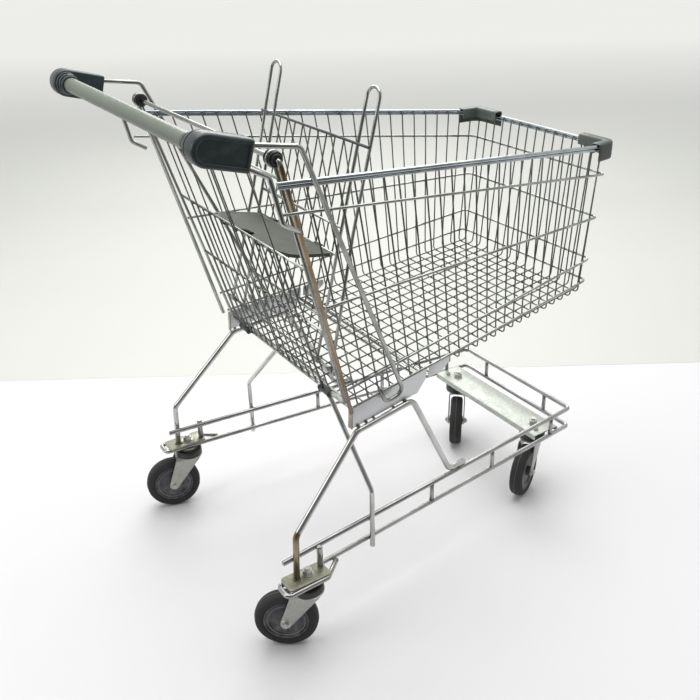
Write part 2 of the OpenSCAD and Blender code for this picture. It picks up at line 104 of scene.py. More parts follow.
# ---------------------------------------------------------------- node helpers
class Sheet:
    """Adds nodes to a node tree and wires them by socket name."""

    def __init__(self, tree: bpy.types.NodeTree) -> None:
        """Works on one tree.

        Args:
            tree: The tree that receives the nodes.
        """
        self.tree = tree

    def add(self, kind: str, props: dict | None = None, **sockets) -> bpy.types.Node:
        """Adds one node.

        Args:
            kind: The node's type name.
            props: Settings of the node itself.
            sockets: Input name (with _ for a space) or index (as s0, s1) to a value or an output socket.

        Returns:
            The node.
        """
        node = self.tree.nodes.new(kind)
        for key, value in (props or {}).items():
            setattr(node, key, value)
        for key, value in sockets.items():
            name = int(key[1:]) if key[0] == "s" and key[1:].isdigit() else key.replace("_", " ")
            self.feed(node.inputs[name], value)
        return node

    def feed(self, socket: bpy.types.NodeSocket, value: SocketValue) -> None:
        """Links an output to a socket, or sets the socket's own value.

        Args:
            socket: Input socket.
            value: Output socket or plain value.
        """
        if isinstance(value, bpy.types.NodeSocket):
            self.tree.links.new(value, socket)
        else:
            socket.default_value = value


def new_group(name: str, kind: str, inputs: dict[str, tuple[str, float]], outputs: dict[str, str]) -> tuple[
    bpy.types.NodeTree, Sheet, bpy.types.Node, bpy.types.Node
]:
    """Makes an empty node group with named sockets.

    Args:
        name: The group's name.
        kind: ShaderNodeTree or GeometryNodeTree.
        inputs: Socket name to (socket type, default).
        outputs: Socket name to socket type.

    Returns:
        The group, its Sheet, its input node and its output node.
    """
    tree = bpy.data.node_groups.new(name, kind)
    for label, (socket_type, default) in inputs.items():
        socket = tree.interface.new_socket(label, in_out="INPUT", socket_type=socket_type)
        if default is not None:
            socket.default_value = default
    for label, socket_type in outputs.items():
        tree.interface.new_socket(label, in_out="OUTPUT", socket_type=socket_type)
    sheet = Sheet(tree)
    return tree, sheet, sheet.add("NodeGroupInput"), sheet.add("NodeGroupOutput")


FLOAT, GEOMETRY, INTEGER, MATERIAL = (
    "NodeSocketFloat",
    "NodeSocketGeometry",
    "NodeSocketInt",
    "NodeSocketMaterial",
)


# ---------------------------------------------------------------- shared surface effects
def make_patches() -> bpy.types.NodeTree:
    """Soft-edged patches: tarnish, stains and dull areas."""
    tree, sheet, given, out = new_group(
        "Patches", "ShaderNodeTree",
        {"Scale": (FLOAT, 20.0), "Cover": (FLOAT, 0.5), "Softness": (FLOAT, 0.1)}, {"Mask": FLOAT})
    place = sheet.add("ShaderNodeTexCoord")
    noise = sheet.add("ShaderNodeTexNoise", Vector=place.outputs["Object"],
                      Scale=given.outputs["Scale"],
                      Detail=5.0, Roughness=0.6)
    edge = sheet.add("ShaderNodeMath", {"operation": "SUBTRACT"}, s0=1.0, s1=given.outputs["Cover"])
    high = sheet.add("ShaderNodeMath", {"operation": "ADD"}, s0=edge.outputs[0],
                     s1=given.outputs["Softness"])
    low = sheet.add("ShaderNodeMath", {"operation": "SUBTRACT"}, s0=edge.outputs[0],
                    s1=given.outputs["Softness"])
    ramp = sheet.add("ShaderNodeMapRange", Value=noise.outputs["Fac"], From_Min=low.outputs[0],
                     From_Max=high.outputs[0])
    sheet.feed(out.inputs["Mask"], ramp.outputs["Result"])
    return tree


def make_grain() -> bpy.types.NodeTree:
    """Fine relief of a moulded or drawn surface, as a height."""
    tree, sheet, given, out = new_group(
        "Grain", "ShaderNodeTree", {"Scale": (FLOAT, 900.0), "Stretch": (FLOAT, 1.0)},
        {"Height": FLOAT})
    place = sheet.add("ShaderNodeTexCoord")
    stretch = sheet.add("ShaderNodeCombineXYZ", X=given.outputs["Stretch"], Y=1.0,
                        Z=given.outputs["Stretch"])
    spread = sheet.add("ShaderNodeVectorMath", {"operation": "MULTIPLY"}, s0=place.outputs["Object"],
                       s1=stretch.outputs[0])
    noise = sheet.add("ShaderNodeTexNoise", Vector=spread.outputs[0], Scale=given.outputs["Scale"],
                      Detail=3.0)
    sheet.feed(out.inputs["Height"], noise.outputs["Fac"])
    return tree


def make_edge_rub() -> bpy.types.NodeTree:
    """Wear along convex edges, broken up by noise."""
    tree, sheet, given, out = new_group(
        "Edge rub", "ShaderNodeTree", {"Low": (FLOAT, 0.52), "High": (FLOAT, 0.6)}, {"Mask": FLOAT})
    shape = sheet.add("ShaderNodeNewGeometry")
    place = sheet.add("ShaderNodeTexCoord")
    ramp = sheet.add("ShaderNodeMapRange", Value=shape.outputs["Pointiness"],
                     From_Min=given.outputs["Low"],
                     From_Max=given.outputs["High"])
    noise = sheet.add("ShaderNodeTexNoise", Vector=place.outputs["Object"], Scale=160.0, Detail=4.0)
    mask = sheet.add("ShaderNodeMath", {"operation": "MULTIPLY"}, s0=ramp.outputs["Result"],
                     s1=noise.outputs["Fac"])
    sheet.feed(out.inputs["Mask"], mask.outputs[0])
    return tree


def make_floor_dust() -> bpy.types.NodeTree:
    """Dust that thickens towards the floor."""
    tree, sheet, given, out = new_group(
        "Floor dust", "ShaderNodeTree", {"Reach": (FLOAT, 0.15), "Amount": (FLOAT, 0.6)},
        {"Mask": FLOAT})
    place = sheet.add("ShaderNodeTexCoord")
    parts = sheet.add("ShaderNodeSeparateXYZ", Vector=place.outputs["Object"])
    fall = sheet.add("ShaderNodeMapRange", Value=parts.outputs["Z"], From_Min=given.outputs["Reach"],
                     From_Max=0.0)
    noise = sheet.add("ShaderNodeTexNoise", Vector=place.outputs["Object"], Scale=70.0, Detail=6.0)
    lumps = sheet.add("ShaderNodeMapRange", Value=noise.outputs["Fac"], From_Min=0.38, From_Max=0.7)
    both = sheet.add("ShaderNodeMath", {"operation": "MULTIPLY"}, s0=fall.outputs["Result"],
                     s1=lumps.outputs["Result"])
    mask = sheet.add("ShaderNodeMath", {"operation": "MULTIPLY"}, s0=both.outputs[0],
                     s1=given.outputs["Amount"])
    sheet.feed(out.inputs["Mask"], mask.outputs[0])
    return tree


def make_spangle() -> bpy.types.NodeTree:
    """Crystal flakes of a hot-dip zinc coat."""
    tree, sheet, given, out = new_group(
        "Spangle", "ShaderNodeTree", {"Scale": (FLOAT, 160.0)}, {"Value": FLOAT})
    place = sheet.add("ShaderNodeTexCoord")
    cells = sheet.add("ShaderNodeTexVoronoi", Vector=place.outputs["Object"],
                      Scale=given.outputs["Scale"])
    parts = sheet.add("ShaderNodeSeparateColor", Color=cells.outputs["Color"])
    sheet.feed(out.inputs["Value"], parts.outputs[0])
    return tree


GROUPS = {
    "patches": make_patches(),
    "grain": make_grain(),
    "edge_rub": make_edge_rub(),
    "floor_dust": make_floor_dust(),
    "spangle": make_spangle(),
}

Colour = tuple[float, float, float]


class Paintbox:
    """Builds one material around a Principled BSDF."""

    def __init__(self, name: str) -> None:
        """Starts one material.

        Args:
            name: The material's name.
        """
        self.material = bpy.data.materials.new(name)
        self.material.use_nodes = True
        self.sheet = Sheet(self.material.node_tree)
        self.shader = self.material.node_tree.nodes["Principled BSDF"]

    def effect(self, group: str, **values: float) -> bpy.types.NodeSocket:
        """Places a shared effect with its own values and returns its output.

        Args:
            group: Name of the effect.
            values: Input name to value.

        Returns:
            The effect's output.
        """
        node = self.sheet.add("ShaderNodeGroup", {"node_tree": GROUPS[group]})
        for key, value in values.items():
            node.inputs[key].default_value = value
        return node.outputs[0]

    def mix(self, mask: SocketValue, under: SocketValue, over: Colour) -> bpy.types.NodeSocket:
        """Lays one colour over another by a mask.

        Args:
            mask: Share of the upper colour.
            under: Lower colour or socket.
            over: Upper colour.

        Returns:
            The mixed colour.
        """
        node = self.sheet.add("ShaderNodeMix", {"data_type": "RGBA"})
        self.sheet.feed(node.inputs[0], mask)
        self.sheet.feed(node.inputs[6], (*under, 1.0) if isinstance(under, tuple) else under)
        self.sheet.feed(node.inputs[7], (*over, 1.0))
        return node.outputs[2]

    def spread(self, mask: SocketValue, low: float, high: float) -> bpy.types.NodeSocket:
        """Turns a mask into a value between two limits.

        Args:
            mask: Mask from 0 to 1.
            low: Value where the mask is 0.
            high: Value where the mask is 1.

        Returns:
            The value.
        """
        return self.sheet.add("ShaderNodeMapRange", Value=mask, To_Min=low,
                              To_Max=high).outputs["Result"]

    def relief(self, height: SocketValue, strength: float, distance: float) -> None:
        """Feeds a height to the surface normal.

        Args:
            height: Height socket.
            strength: Share of the effect.
            distance: Depth in metres.
        """
        bump = self.sheet.add("ShaderNodeBump", Strength=strength, Distance=distance, Height=height)
        self.sheet.feed(self.shader.inputs["Normal"], bump.outputs["Normal"])

    def set(self, **sockets) -> None:
        """Sets or links inputs of the shader."""
        for key, value in sockets.items():
            if isinstance(value, tuple) and len(value) == 3:
                value = (*value, 1.0)
            self.sheet.feed(self.shader.inputs[key.replace("_", " ")], value)


@dataclass(frozen=True)
class Plating:
    """Bright plated wire with dull patches, drawing marks and a little rust."""

    name: str
    colour: Colour
    tarnish: Colour
    cover: float = 0.45
    shine: float = 0.16
    dull: float = 0.34
    rust: float = 0.22

    def material(self) -> bpy.types.Material:
        """The finish as a material."""
        box = Paintbox(self.name)
        stain = box.effect("patches", Scale=14.0, Cover=self.cover, Softness=0.14)
        rust = box.effect("patches", Scale=9.0, Cover=self.rust, Softness=0.05)
        dust = box.effect("floor_dust", Reach=0.24, Amount=0.35)
        colour = box.mix(stain, self.colour, self.tarnish)
        colour = box.mix(rust, colour, (0.33, 0.24, 0.15))
        colour = box.mix(dust, colour, (0.42, 0.41, 0.38))
        box.set(Base_Color=colour, Metallic=1.0, Roughness=box.spread(stain, self.shine, self.dull))
        box.relief(box.effect("grain", Scale=1400.0, Stretch=1.0), 0.12, 0.0002)
        return box.material


@dataclass(frozen=True)
class ZincSheet:
    """Zinc-coated sheet with crystal flakes, stains and rubbed edges."""

    name: str
    colour: Colour
    flake: Colour
    stain: Colour
    flake_scale: float = 150.0
    cover: float = 0.4
    shine: float = 0.32
    dull: float = 0.55
    metal: float = 0.85

    def material(self) -> bpy.types.Material:
        """The finish as a material."""
        box = Paintbox(self.name)
        flakes = box.effect("spangle", Scale=self.flake_scale)
        stain = box.effect("patches", Scale=24.0, Cover=self.cover, Softness=0.12)
        rub = box.effect("edge_rub", Low=0.52, High=0.62)
        dust = box.effect("floor_dust", Reach=0.2, Amount=0.4)
        colour = box.mix(flakes, self.colour, self.flake)
        colour = box.mix(stain, colour, self.stain)
        colour = box.mix(rub, colour, (0.8, 0.8, 0.78))
        colour = box.mix(dust, colour, (0.4, 0.38, 0.34))
        box.set(Base_Color=colour, Metallic=self.metal,
                Roughness=box.spread(flakes, self.shine, self.dull))
        box.relief(box.effect("grain", Scale=500.0, Stretch=1.0), 0.15, 0.0003)
        return box.material


@dataclass(frozen=True)
class Moulding:
    """Moulded plastic with a fine grain, handling marks and pale rubbed edges."""

    name: str
    colour: Colour
    scuff: Colour
    rough: float = 0.42
    worn: float = 0.6
    grain: float = 1100.0
    depth: float = 0.16
    gloss: float = 0.5

    def material(self) -> bpy.types.Material:
        """The finish as a material."""
        box = Paintbox(self.name)
        marks = box.effect("patches", Scale=45.0, Cover=0.38, Softness=0.1)
        broad = box.effect("patches", Scale=7.0, Cover=0.5, Softness=0.25)
        rub = box.effect("edge_rub", Low=0.53, High=0.66)
        dust = box.effect("floor_dust", Reach=0.16, Amount=0.5)
        colour = box.mix(broad, self.colour, tuple(c * 0.86 for c in self.colour))
        colour = box.mix(box.spread(marks, 0.0, 0.22), colour, self.scuff)
        colour = box.mix(rub, colour, self.scuff)
        colour = box.mix(dust, colour, (0.34, 0.32, 0.29))
        box.set(Base_Color=colour, Roughness=box.spread(marks, self.rough, self.worn),
                Specular_IOR_Level=self.gloss)
        box.relief(box.effect("grain", Scale=self.grain, Stretch=1.0), self.depth, 0.0003)
        return box.material


@dataclass(frozen=True)
class TyreRubber:
    """Black rubber, grey with floor dust and scuffed on the tread."""

    name: str = "tyre_rubber"
    colour: Colour = (0.008, 0.0075, 0.0078)

    def material(self) -> bpy.types.Material:
        """The finish as a material."""
        box = Paintbox(self.name)
        scuff = box.effect("patches", Scale=60.0, Cover=0.42, Softness=0.12)
        dust = box.effect("floor_dust", Reach=0.07, Amount=0.16)
        colour = box.mix(box.spread(scuff, 0.0, 0.25), self.colour, (0.045, 0.042, 0.04))
        colour = box.mix(dust, colour, (0.12, 0.115, 0.105))
        box.set(Base_Color=colour, Roughness=box.spread(scuff, 0.42, 0.7), Specular_IOR_Level=0.35)
        box.relief(box.effect("grain", Scale=700.0, Stretch=1.0), 0.25, 0.0004)
        return box.material


class Finish(Enum):
    """Every finish on the trolley."""

    WIRE = Plating("bright_wire", (0.44, 0.45, 0.43), (0.22, 0.23, 0.20), shine=0.13, dull=0.3)
    FINE_WIRE = Plating("fine_wire", (0.24, 0.25, 0.23), (0.13, 0.135, 0.115), cover=0.55, shine=0.2,
                        dull=0.4)
    RIM_WIRE = Plating("rim_wire", (0.48, 0.52, 0.54), (0.24, 0.29, 0.31), cover=0.4, shine=0.08,
                       dull=0.2, rust=0.1)
    TUBE = Plating("leg_tube", (0.56, 0.56, 0.55), (0.38, 0.38, 0.36), cover=0.4, shine=0.1, dull=0.2)
    RAIL = Plating("rail_wire", (0.46, 0.46, 0.46), (0.32, 0.32, 0.31), cover=0.5, shine=0.14,
                   dull=0.28, rust=0.12)
    BROWNED = Plating("browned_wire", (0.33, 0.27, 0.19), (0.18, 0.12, 0.07), cover=0.5, shine=0.16,
                      dull=0.36, rust=0.4)
    DARK_BAR = Plating("dark_bar", (0.12, 0.115, 0.1), (0.07, 0.065, 0.055), cover=0.5, shine=0.3,
                       dull=0.5, rust=0.2)
    WELD = Plating("weld_bead", (0.24, 0.24, 0.21), (0.13, 0.12, 0.1), cover=0.5, shine=0.3, dull=0.5,
                   rust=0.25)
    SLEEVE = Moulding("grip_sleeve", (0.17, 0.2, 0.158), (0.36, 0.39, 0.33), rough=0.36, worn=0.5)
    CAP = Moulding("handle_cap_moulding", (0.03, 0.045, 0.047), (0.13, 0.16, 0.16), rough=0.34,
                   worn=0.52)
    BUMPER = Moulding("bumper_moulding", (0.062, 0.08, 0.071), (0.2, 0.22, 0.2), rough=0.36, worn=0.55)
    SEAT = Moulding("seat_moulding", (0.062, 0.067, 0.052), (0.14, 0.15, 0.12), rough=0.5, worn=0.62,
                    gloss=0.25)
    BLACK = Moulding("black_moulding", (0.012, 0.012, 0.012), (0.07, 0.07, 0.06), rough=0.4, worn=0.6)
    CLIP = Moulding("clip_moulding", (0.04, 0.05, 0.043), (0.14, 0.16, 0.14), rough=0.45, worn=0.62)
    HUB = Moulding("hub_moulding", (0.035, 0.038, 0.048), (0.1, 0.11, 0.13), rough=0.38, worn=0.55)
    HUB_RING = Moulding("hub_ring", (0.11, 0.115, 0.13), (0.2, 0.21, 0.23), rough=0.35, worn=0.5)
    GALVANISED = ZincSheet("galvanised_sheet", (0.35, 0.36, 0.36), (0.41, 0.42, 0.41),
                           (0.28, 0.29, 0.28))
    FOLD = ZincSheet("rusted_fold", (0.26, 0.21, 0.13), (0.31, 0.26, 0.17), (0.17, 0.12, 0.06),
                     metal=0.5)
    CHANNEL = ZincSheet("passivated_channel", (0.28, 0.33, 0.27), (0.31, 0.36, 0.30),
                        (0.22, 0.265, 0.21),
                        flake_scale=90.0, metal=0.5, shine=0.35, dull=0.5)
    OLIVE = ZincSheet("olive_zinc", (0.25, 0.25, 0.17), (0.3, 0.3, 0.22), (0.17, 0.17, 0.11),
                      flake_scale=120.0,
                      metal=0.6, shine=0.3, dull=0.5)
    PRESSED = ZincSheet("pressed_zinc", (0.36, 0.365, 0.33), (0.42, 0.42, 0.39), (0.28, 0.285, 0.25),
                        metal=0.7,
                        shine=0.28, dull=0.42)
    RUBBER = TyreRubber()
    # painted highlight: a pale line round the tyre's crown, where light catches the tread
    TREAD_HIGHLIGHT = TyreRubber("tread_highlight", (0.1, 0.095, 0.08))

    def material(self) -> bpy.types.Material:
        """The finish's material, built the first time it is asked for."""
        return bpy.data.materials.get(self.value.name) or self.value.material()


class Slot(Enum):
    """Material slots of the record."""

    CHROME = "chrome_wire"
    GRIP = "grip_plastic"
    CAP = "cap_plastic"
    BUMPER = "bumper_plastic"
    SEAT = "seat_plastic"
    BLACK = "black_plastic"
    CLIP = "clip_plastic"
    DARK_BAR = "dark_bar"
    GALVANISED = "galvanised_sheet"
    CHANNEL = "zinc_channel"
    FORK = "zinc_fork"
    HUB = "hub_plastic"
    TYRE = "tyre_rubber"


# ---------------------------------------------------------------- geometry node trees
def named(sheet: Sheet, name: str, kind: str = "FLOAT") -> bpy.types.NodeSocket:
    """A named attribute of the points.

    Args:
        sheet: The tree's sheet.
        name: The attribute's name.
        kind: Its data type.

    Returns:
        The attribute.
    """
    return sheet.add("GeometryNodeInputNamedAttribute", {"data_type": kind}, Name=name).outputs[0]


def close_tree(sheet: Sheet, given: bpy.types.Node, out: bpy.types.Node, shape: bpy.types.NodeSocket,
               smooth: bool) -> None:
    """Ends a tree: shading, real geometry, material.

    Args:
        sheet: The tree's sheet.
        given: Input node.
        out: Output node.
        shape: Geometry to end with.
        smooth: Whether faces shade smoothly.
    """
    shaded = sheet.add("GeometryNodeSetShadeSmooth", Geometry=shape, Shade_Smooth=smooth)
    real = sheet.add("GeometryNodeRealizeInstances", Geometry=shaded.outputs[0])
    done = sheet.add("GeometryNodeSetMaterial", Geometry=real.outputs[0],
                     Material=given.outputs["Finish"])
    sheet.feed(out.inputs["Geometry"], done.outputs[0])


def make_wire_tree() -> bpy.types.NodeTree:
    """Sweeps a round wire along bent centre lines with chamfered ends."""
    tree, sheet, given, out = new_group(
        "Bent wire", "GeometryNodeTree",
        {"Centre Lines": (GEOMETRY, None), "Wire Diameter": (FLOAT, 0.005), "Sides": (INTEGER, 12),
         "Bend Steps": (INTEGER, 5), "Finish": (MATERIAL, None)}, {"Geometry": GEOMETRY})
    curve = sheet.add("GeometryNodeMeshToCurve", Mesh=given.outputs["Centre Lines"])
    bent = sheet.add("GeometryNodeFilletCurve", {"mode": "POLY"}, Curve=curve.outputs[0],
                     Count=given.outputs["Bend Steps"], Radius=named(sheet, "bend"), Limit_Radius=True)
    half = sheet.add("ShaderNodeMath", {"operation": "MULTIPLY"}, s0=given.outputs["Wire Diameter"],
                     s1=0.5)
    ring = sheet.add("GeometryNodeCurvePrimitiveCircle", Resolution=given.outputs["Sides"],
                     Radius=half.outputs[0])
    swept = sheet.add("GeometryNodeCurveToMesh", Curve=bent.outputs[0],
                      Profile_Curve=ring.outputs["Curve"],
                      Scale=named(sheet, "swell"), Fill_Caps=True)
    merged = sheet.add("GeometryNodeMergeByDistance", Geometry=swept.outputs[0], Distance=0.00001)
    close_tree(sheet, given, out, merged.outputs[0], True)
    return tree


def make_weld_tree() -> bpy.types.NodeTree:
    """Sets a flattened bead of weld at each point, a little different in size."""
    tree, sheet, given, out = new_group(
        "Weld beads", "GeometryNodeTree",
        {"Places": (GEOMETRY, None), "Bead Radius": (FLOAT, 0.002), "Flatness": (FLOAT, 0.7),
         "Seed": (INTEGER, 7), "Finish": (MATERIAL, None)}, {"Geometry": GEOMETRY})
    bead = sheet.add("GeometryNodeMeshUVSphere", Segments=8, Rings=4,
                     Radius=given.outputs["Bead Radius"])
    turn = sheet.add("FunctionNodeAlignRotationToVector", {"axis": "Z"},
                     Vector=named(sheet, "facing", "FLOAT_VECTOR"))
    odds = sheet.add("FunctionNodeRandomValue", {"data_type": "FLOAT"}, Seed=given.outputs["Seed"])
    odds.inputs[2].default_value, odds.inputs[3].default_value = 0.8, 1.25
    flat = sheet.add("ShaderNodeMath", {"operation": "MULTIPLY"}, s0=odds.outputs[1],
                     s1=given.outputs["Flatness"])
    size = sheet.add("ShaderNodeCombineXYZ", X=odds.outputs[1], Y=odds.outputs[1], Z=flat.outputs[0])
    laid = sheet.add("GeometryNodeInstanceOnPoints", Points=given.outputs["Places"],
                     Instance=bead.outputs[0],
                     Rotation=turn.outputs[0], Scale=size.outputs[0])
    close_tree(sheet, given, out, laid.outputs[0], True)
    return tree


def make_nut_tree() -> bpy.types.NodeTree:
    """Sets a washer, a chamfered hexagon and a thread end at each point."""
    tree, sheet, given, out = new_group(
        "Nuts", "GeometryNodeTree",
        {"Places": (GEOMETRY, None), "Across Corners": (FLOAT, 0.02), "Nut Height": (FLOAT, 0.008),
         "Thread Diameter": (FLOAT, 0.01), "Thread Height": (FLOAT, 0.003),
         "Washer Diameter": (FLOAT, 0.024),
         "Washer Height": (FLOAT, 0.0015), "Finish": (MATERIAL, None)}, {"Geometry": GEOMETRY})

    def math(operation: str, a: SocketValue, b: SocketValue) -> bpy.types.NodeSocket:
        """One sum on two sockets or numbers.

        Args:
            operation: Name of the sum.
            a: First value.
            b: Second value.

        Returns:
            The result.
        """
        return sheet.add("ShaderNodeMath", {"operation": operation}, s0=a, s1=b).outputs[0]

    def lifted(shape: bpy.types.NodeSocket, height: SocketValue) -> bpy.types.NodeSocket:
        """Moves a shape up.

        Args:
            shape: Geometry to move.
            height: Distance up in metres.

        Returns:
            The moved geometry.
        """
        up = sheet.add("ShaderNodeCombineXYZ", Z=height)
        return sheet.add("GeometryNodeTransform", Geometry=shape, Translation=up.outputs[0]).outputs[0]

    def drum(sides: int, diameter: SocketValue, low: SocketValue, height: SocketValue,
             top: float = 1.0) -> bpy.types.NodeSocket:
        """A prism or a tapered prism that stands at a height.

        Args:
            sides: Number of sides.
            diameter: Width at the foot.
            low: Height of the foot.
            height: Height of the prism.
            top: Width at the top as a share of the foot.

        Returns:
            The prism.
        """
        radius = math("MULTIPLY", diameter, 0.5)
        shape = sheet.add("GeometryNodeMeshCone", Vertices=sides, Radius_Bottom=radius,
                          Radius_Top=math("MULTIPLY", radius, top), Depth=height)
        return lifted(shape.outputs[0], low)

    washer_h, nut_h = given.outputs["Washer Height"], given.outputs["Nut Height"]
    corners = given.outputs["Across Corners"]
    crown_low = math("ADD", washer_h, nut_h)
    crown_h = math("MULTIPLY", nut_h, 0.14)
    thread_low = math("ADD", crown_low, crown_h)
    parts = [
        drum(24, given.outputs["Washer Diameter"], 0.0, washer_h),
        drum(6, corners, washer_h, nut_h),
        drum(6, corners, crown_low, crown_h, 0.86),
        drum(16, given.outputs["Thread Diameter"], thread_low, given.outputs["Thread Height"], 0.88),
    ]
    joined = sheet.add("GeometryNodeJoinGeometry")
    for part in reversed(parts):
        sheet.feed(joined.inputs[0], part)
    turn = sheet.add("FunctionNodeAlignRotationToVector", {"axis": "Z"},
                     Vector=named(sheet, "facing", "FLOAT_VECTOR"))
    laid = sheet.add("GeometryNodeInstanceOnPoints", Points=given.outputs["Places"],
                     Instance=joined.outputs[0],
                     Rotation=turn.outputs[0])
    close_tree(sheet, given, out, laid.outputs[0], False)
    return tree


TREES = {"wire": make_wire_tree(), "weld": make_weld_tree(), "nut": make_nut_tree()}


def grow(name: str, seed: bpy.types.Mesh, tree: bpy.types.NodeTree, inputs: dict) -> bpy.types.Object:
    """Runs a geometry tree on a mesh and keeps the result as a plain mesh.

    Args:
        name: Name of the new piece.
        seed: Mesh with the points or centre lines, in metres.
        tree: The geometry tree.
        inputs: Socket name to value.

    Returns:
        An object at the origin with a plain mesh.
    """
    holder = bpy.data.objects.new(name + "_seed", seed)
    bpy.context.scene.collection.objects.link(holder)
    modifier = holder.modifiers.new("grow", "NODES")
    modifier.node_group = tree
    for item in tree.interface.items_tree:
        if item.item_type == "SOCKET" and item.in_out == "INPUT" and item.name in inputs:
            modifier[item.identifier] = inputs[item.name]
    bpy.context.view_layer.update()
    graph = bpy.context.evaluated_depsgraph_get()
    mesh = bpy.data.meshes.new_from_object(holder.evaluated_get(graph), depsgraph=graph)
    mesh.name = name
    bpy.data.objects.remove(holder)
    piece = bpy.data.objects.new(name, mesh)
    bpy.context.scene.collection.objects.link(piece)
    return piece


# ---------------------------------------------------------------- wires, welds and nuts
@dataclass
class Wire:
    """One centre line with the radius of its bends."""

    points: Sequence[Point]
    bend: float = 0.0
    closed: bool = False


def draw_wires(name: str, wires: Sequence[Wire], diameter: float, finish: Finish,
               sides: int = 12, steps: int = 6) -> bpy.types.Object:
    """Makes the wires of one diameter as one piece.

    Args:
        name: Name of the piece.
        wires: Their centre lines in working millimetres.
        diameter: Diameter of the wire.
        finish: Finish of the wire.
        sides: Sides of the round section.
        steps: Steps in each bend.

    Returns:
        The piece.
    """
    verts: list[Vector] = []
    edges: list[tuple[int, int]] = []
    bends: list[float] = []
    swells: list[float] = []
    place = row_place()
    chamfer = diameter * 0.16
    for wire in wires:
        line = [Vector(p) for p in wire.points]
        bend = [wire.bend] * len(line)
        swell = [1.0] * len(line)
        if not wire.closed:
            first = line[0] + (line[1] - line[0]).normalized() * chamfer
            last = line[-1] + (line[-2] - line[-1]).normalized() * chamfer
            line = [line[0], first, *line[1:-1], last, line[-1]]
            bend = [0.0, 0.0, *bend[1:-1], 0.0, 0.0]
            swell = [0.68, 1.0, *swell[1:-1], 1.0, 0.68]
        start = len(verts)
        verts += [place @ p for p in line]
        edges += [(start + i, start + i + 1) for i in range(len(line) - 1)]
        if wire.closed:
            edges.append((start + len(line) - 1, start))
        bends += [b * METRES for b in bend]
        swells += swell
    mesh = bpy.data.meshes.new(name + "_lines")
    mesh.from_pydata(verts, edges, [])
    mesh.attributes.new("bend", "FLOAT", "POINT").data.foreach_set("value", bends)
    mesh.attributes.new("swell", "FLOAT", "POINT").data.foreach_set("value", swells)
    return grow(name, mesh, TREES["wire"],
                {"Wire Diameter": diameter * METRES, "Sides": sides, "Bend Steps": steps,
                 "Finish": finish.material()})


def scatter(name: str, places: Sequence[tuple[Sequence[float], Sequence[float]]], tree: str,
            inputs: dict[str, float], finish: Finish) -> bpy.types.Object:
    """Sets one shape at each place, facing a direction.

    Args:
        name: Name of the piece.
        places: Pairs of a point and a direction in working millimetres.
        tree: Which tree makes the shape.
        inputs: Its sizes in metres.
        finish: Its finish.

    Returns:
        The piece.
    """
    mesh = bpy.data.meshes.new(name + "_places")
    mesh.from_pydata([row_place() @ Vector(p) for p, _ in places], [], [])
    facing = mesh.attributes.new("facing", "FLOAT_VECTOR", "POINT")
    facing.data.foreach_set("vector", [c for _, d in places for c in Vector(d).normalized()])
    return grow(name, mesh, TREES[tree], {**inputs, "Finish": finish.material()})


def weld(name: str, places: Sequence[tuple[Sequence[float], Sequence[float]]], radius: float,
         flatness: float = 0.7) -> bpy.types.Object:
    """Beads of weld at places where wires cross.

    Args:
        name: The piece's name.
        places: Points with the direction each bead faces.
        radius: Radius of a bead.
        flatness: Height of a bead as a share of its radius.

    Returns:
        The mesh object.
    """
    sizes = {"Bead Radius": radius * METRES, "Flatness": flatness}
    return scatter(name, places, "weld", sizes, Finish.WELD)


# ---------------------------------------------------------------- solid shapes
def finish_mesh(name: str, bm: bmesh.types.BMesh, finish: Finish, place: Matrix | None = None,
                sharp: float = 38.0) -> bpy.types.Object:
    """Turns a bmesh in working millimetres into a piece in metres.

    Args:
        name: Name of the piece.
        bm: The shape; it is freed.
        finish: Its finish.
        place: Where the shape goes in the working frame.
        sharp: Angle in degrees above which an edge stays sharp.

    Returns:
        The piece.
    """
    bmesh.ops.remove_doubles(bm, verts=bm.verts, dist=0.001)
    bmesh.ops.transform(bm, matrix=row_place() @ (place or Matrix.Identity(4)), verts=bm.verts)
    bmesh.ops.recalc_face_normals(bm, faces=bm.faces)
    mesh = bpy.data.meshes.new(name)
    bm.to_mesh(mesh)
    bm.free()
    mesh.polygons.foreach_set("use_smooth", [True] * len(mesh.polygons))
    mesh.set_sharp_from_angle(angle=math.radians(sharp))
    mesh.materials.append(finish.material())
    piece = bpy.data.objects.new(name, mesh)
    bpy.context.scene.collection.objects.link(piece)
    return piece


def soften(bm: bmesh.types.BMesh, width: float, segments: int = 2, above: float = 40.0) -> None:
    """Rounds every edge that is sharper than an angle.

    Args:
        bm: Mesh to change.
        width: Width of the rounding.
        segments: Faces across it.
        above: Least angle of an edge in degrees.
    """
    bmesh.ops.remove_doubles(bm, verts=bm.verts, dist=0.001)
    bmesh.ops.recalc_face_normals(bm, faces=bm.faces)
    limit = math.radians(above)
    sharp = [e for e in bm.edges if len(e.link_faces) == 2 and e.calc_face_angle(0.0) > limit]
    bmesh.ops.bevel(bm, geom=sharp, offset=width, offset_type="OFFSET", segments=segments, profile=0.5,
                    affect="EDGES", clamp_overlap=True)


def bridge(bm: bmesh.types.BMesh, rings: Sequence[Sequence[Point]], closed_path: bool = False) -> None:
    """Joins rings of equal length with faces, and closes both ends.

    Args:
        bm: Mesh to add to.
        rings: Rings of points in order.
        closed_path: Joins the last ring to the first instead of closing the ends.
    """
    rows = [[bm.verts.new(p) for p in ring] for ring in rings]
    count = len(rows[0])
    last = len(rows) if closed_path else len(rows) - 1
    for i in range(last):
        a, b = rows[i], rows[(i + 1) % len(rows)]
        for j in range(count):
            k = (j + 1) % count
            bm.faces.new((a[j], a[k], b[k], b[j]))
    if not closed_path:
        bm.faces.new(rows[0])
        bm.faces.new(rows[-1])


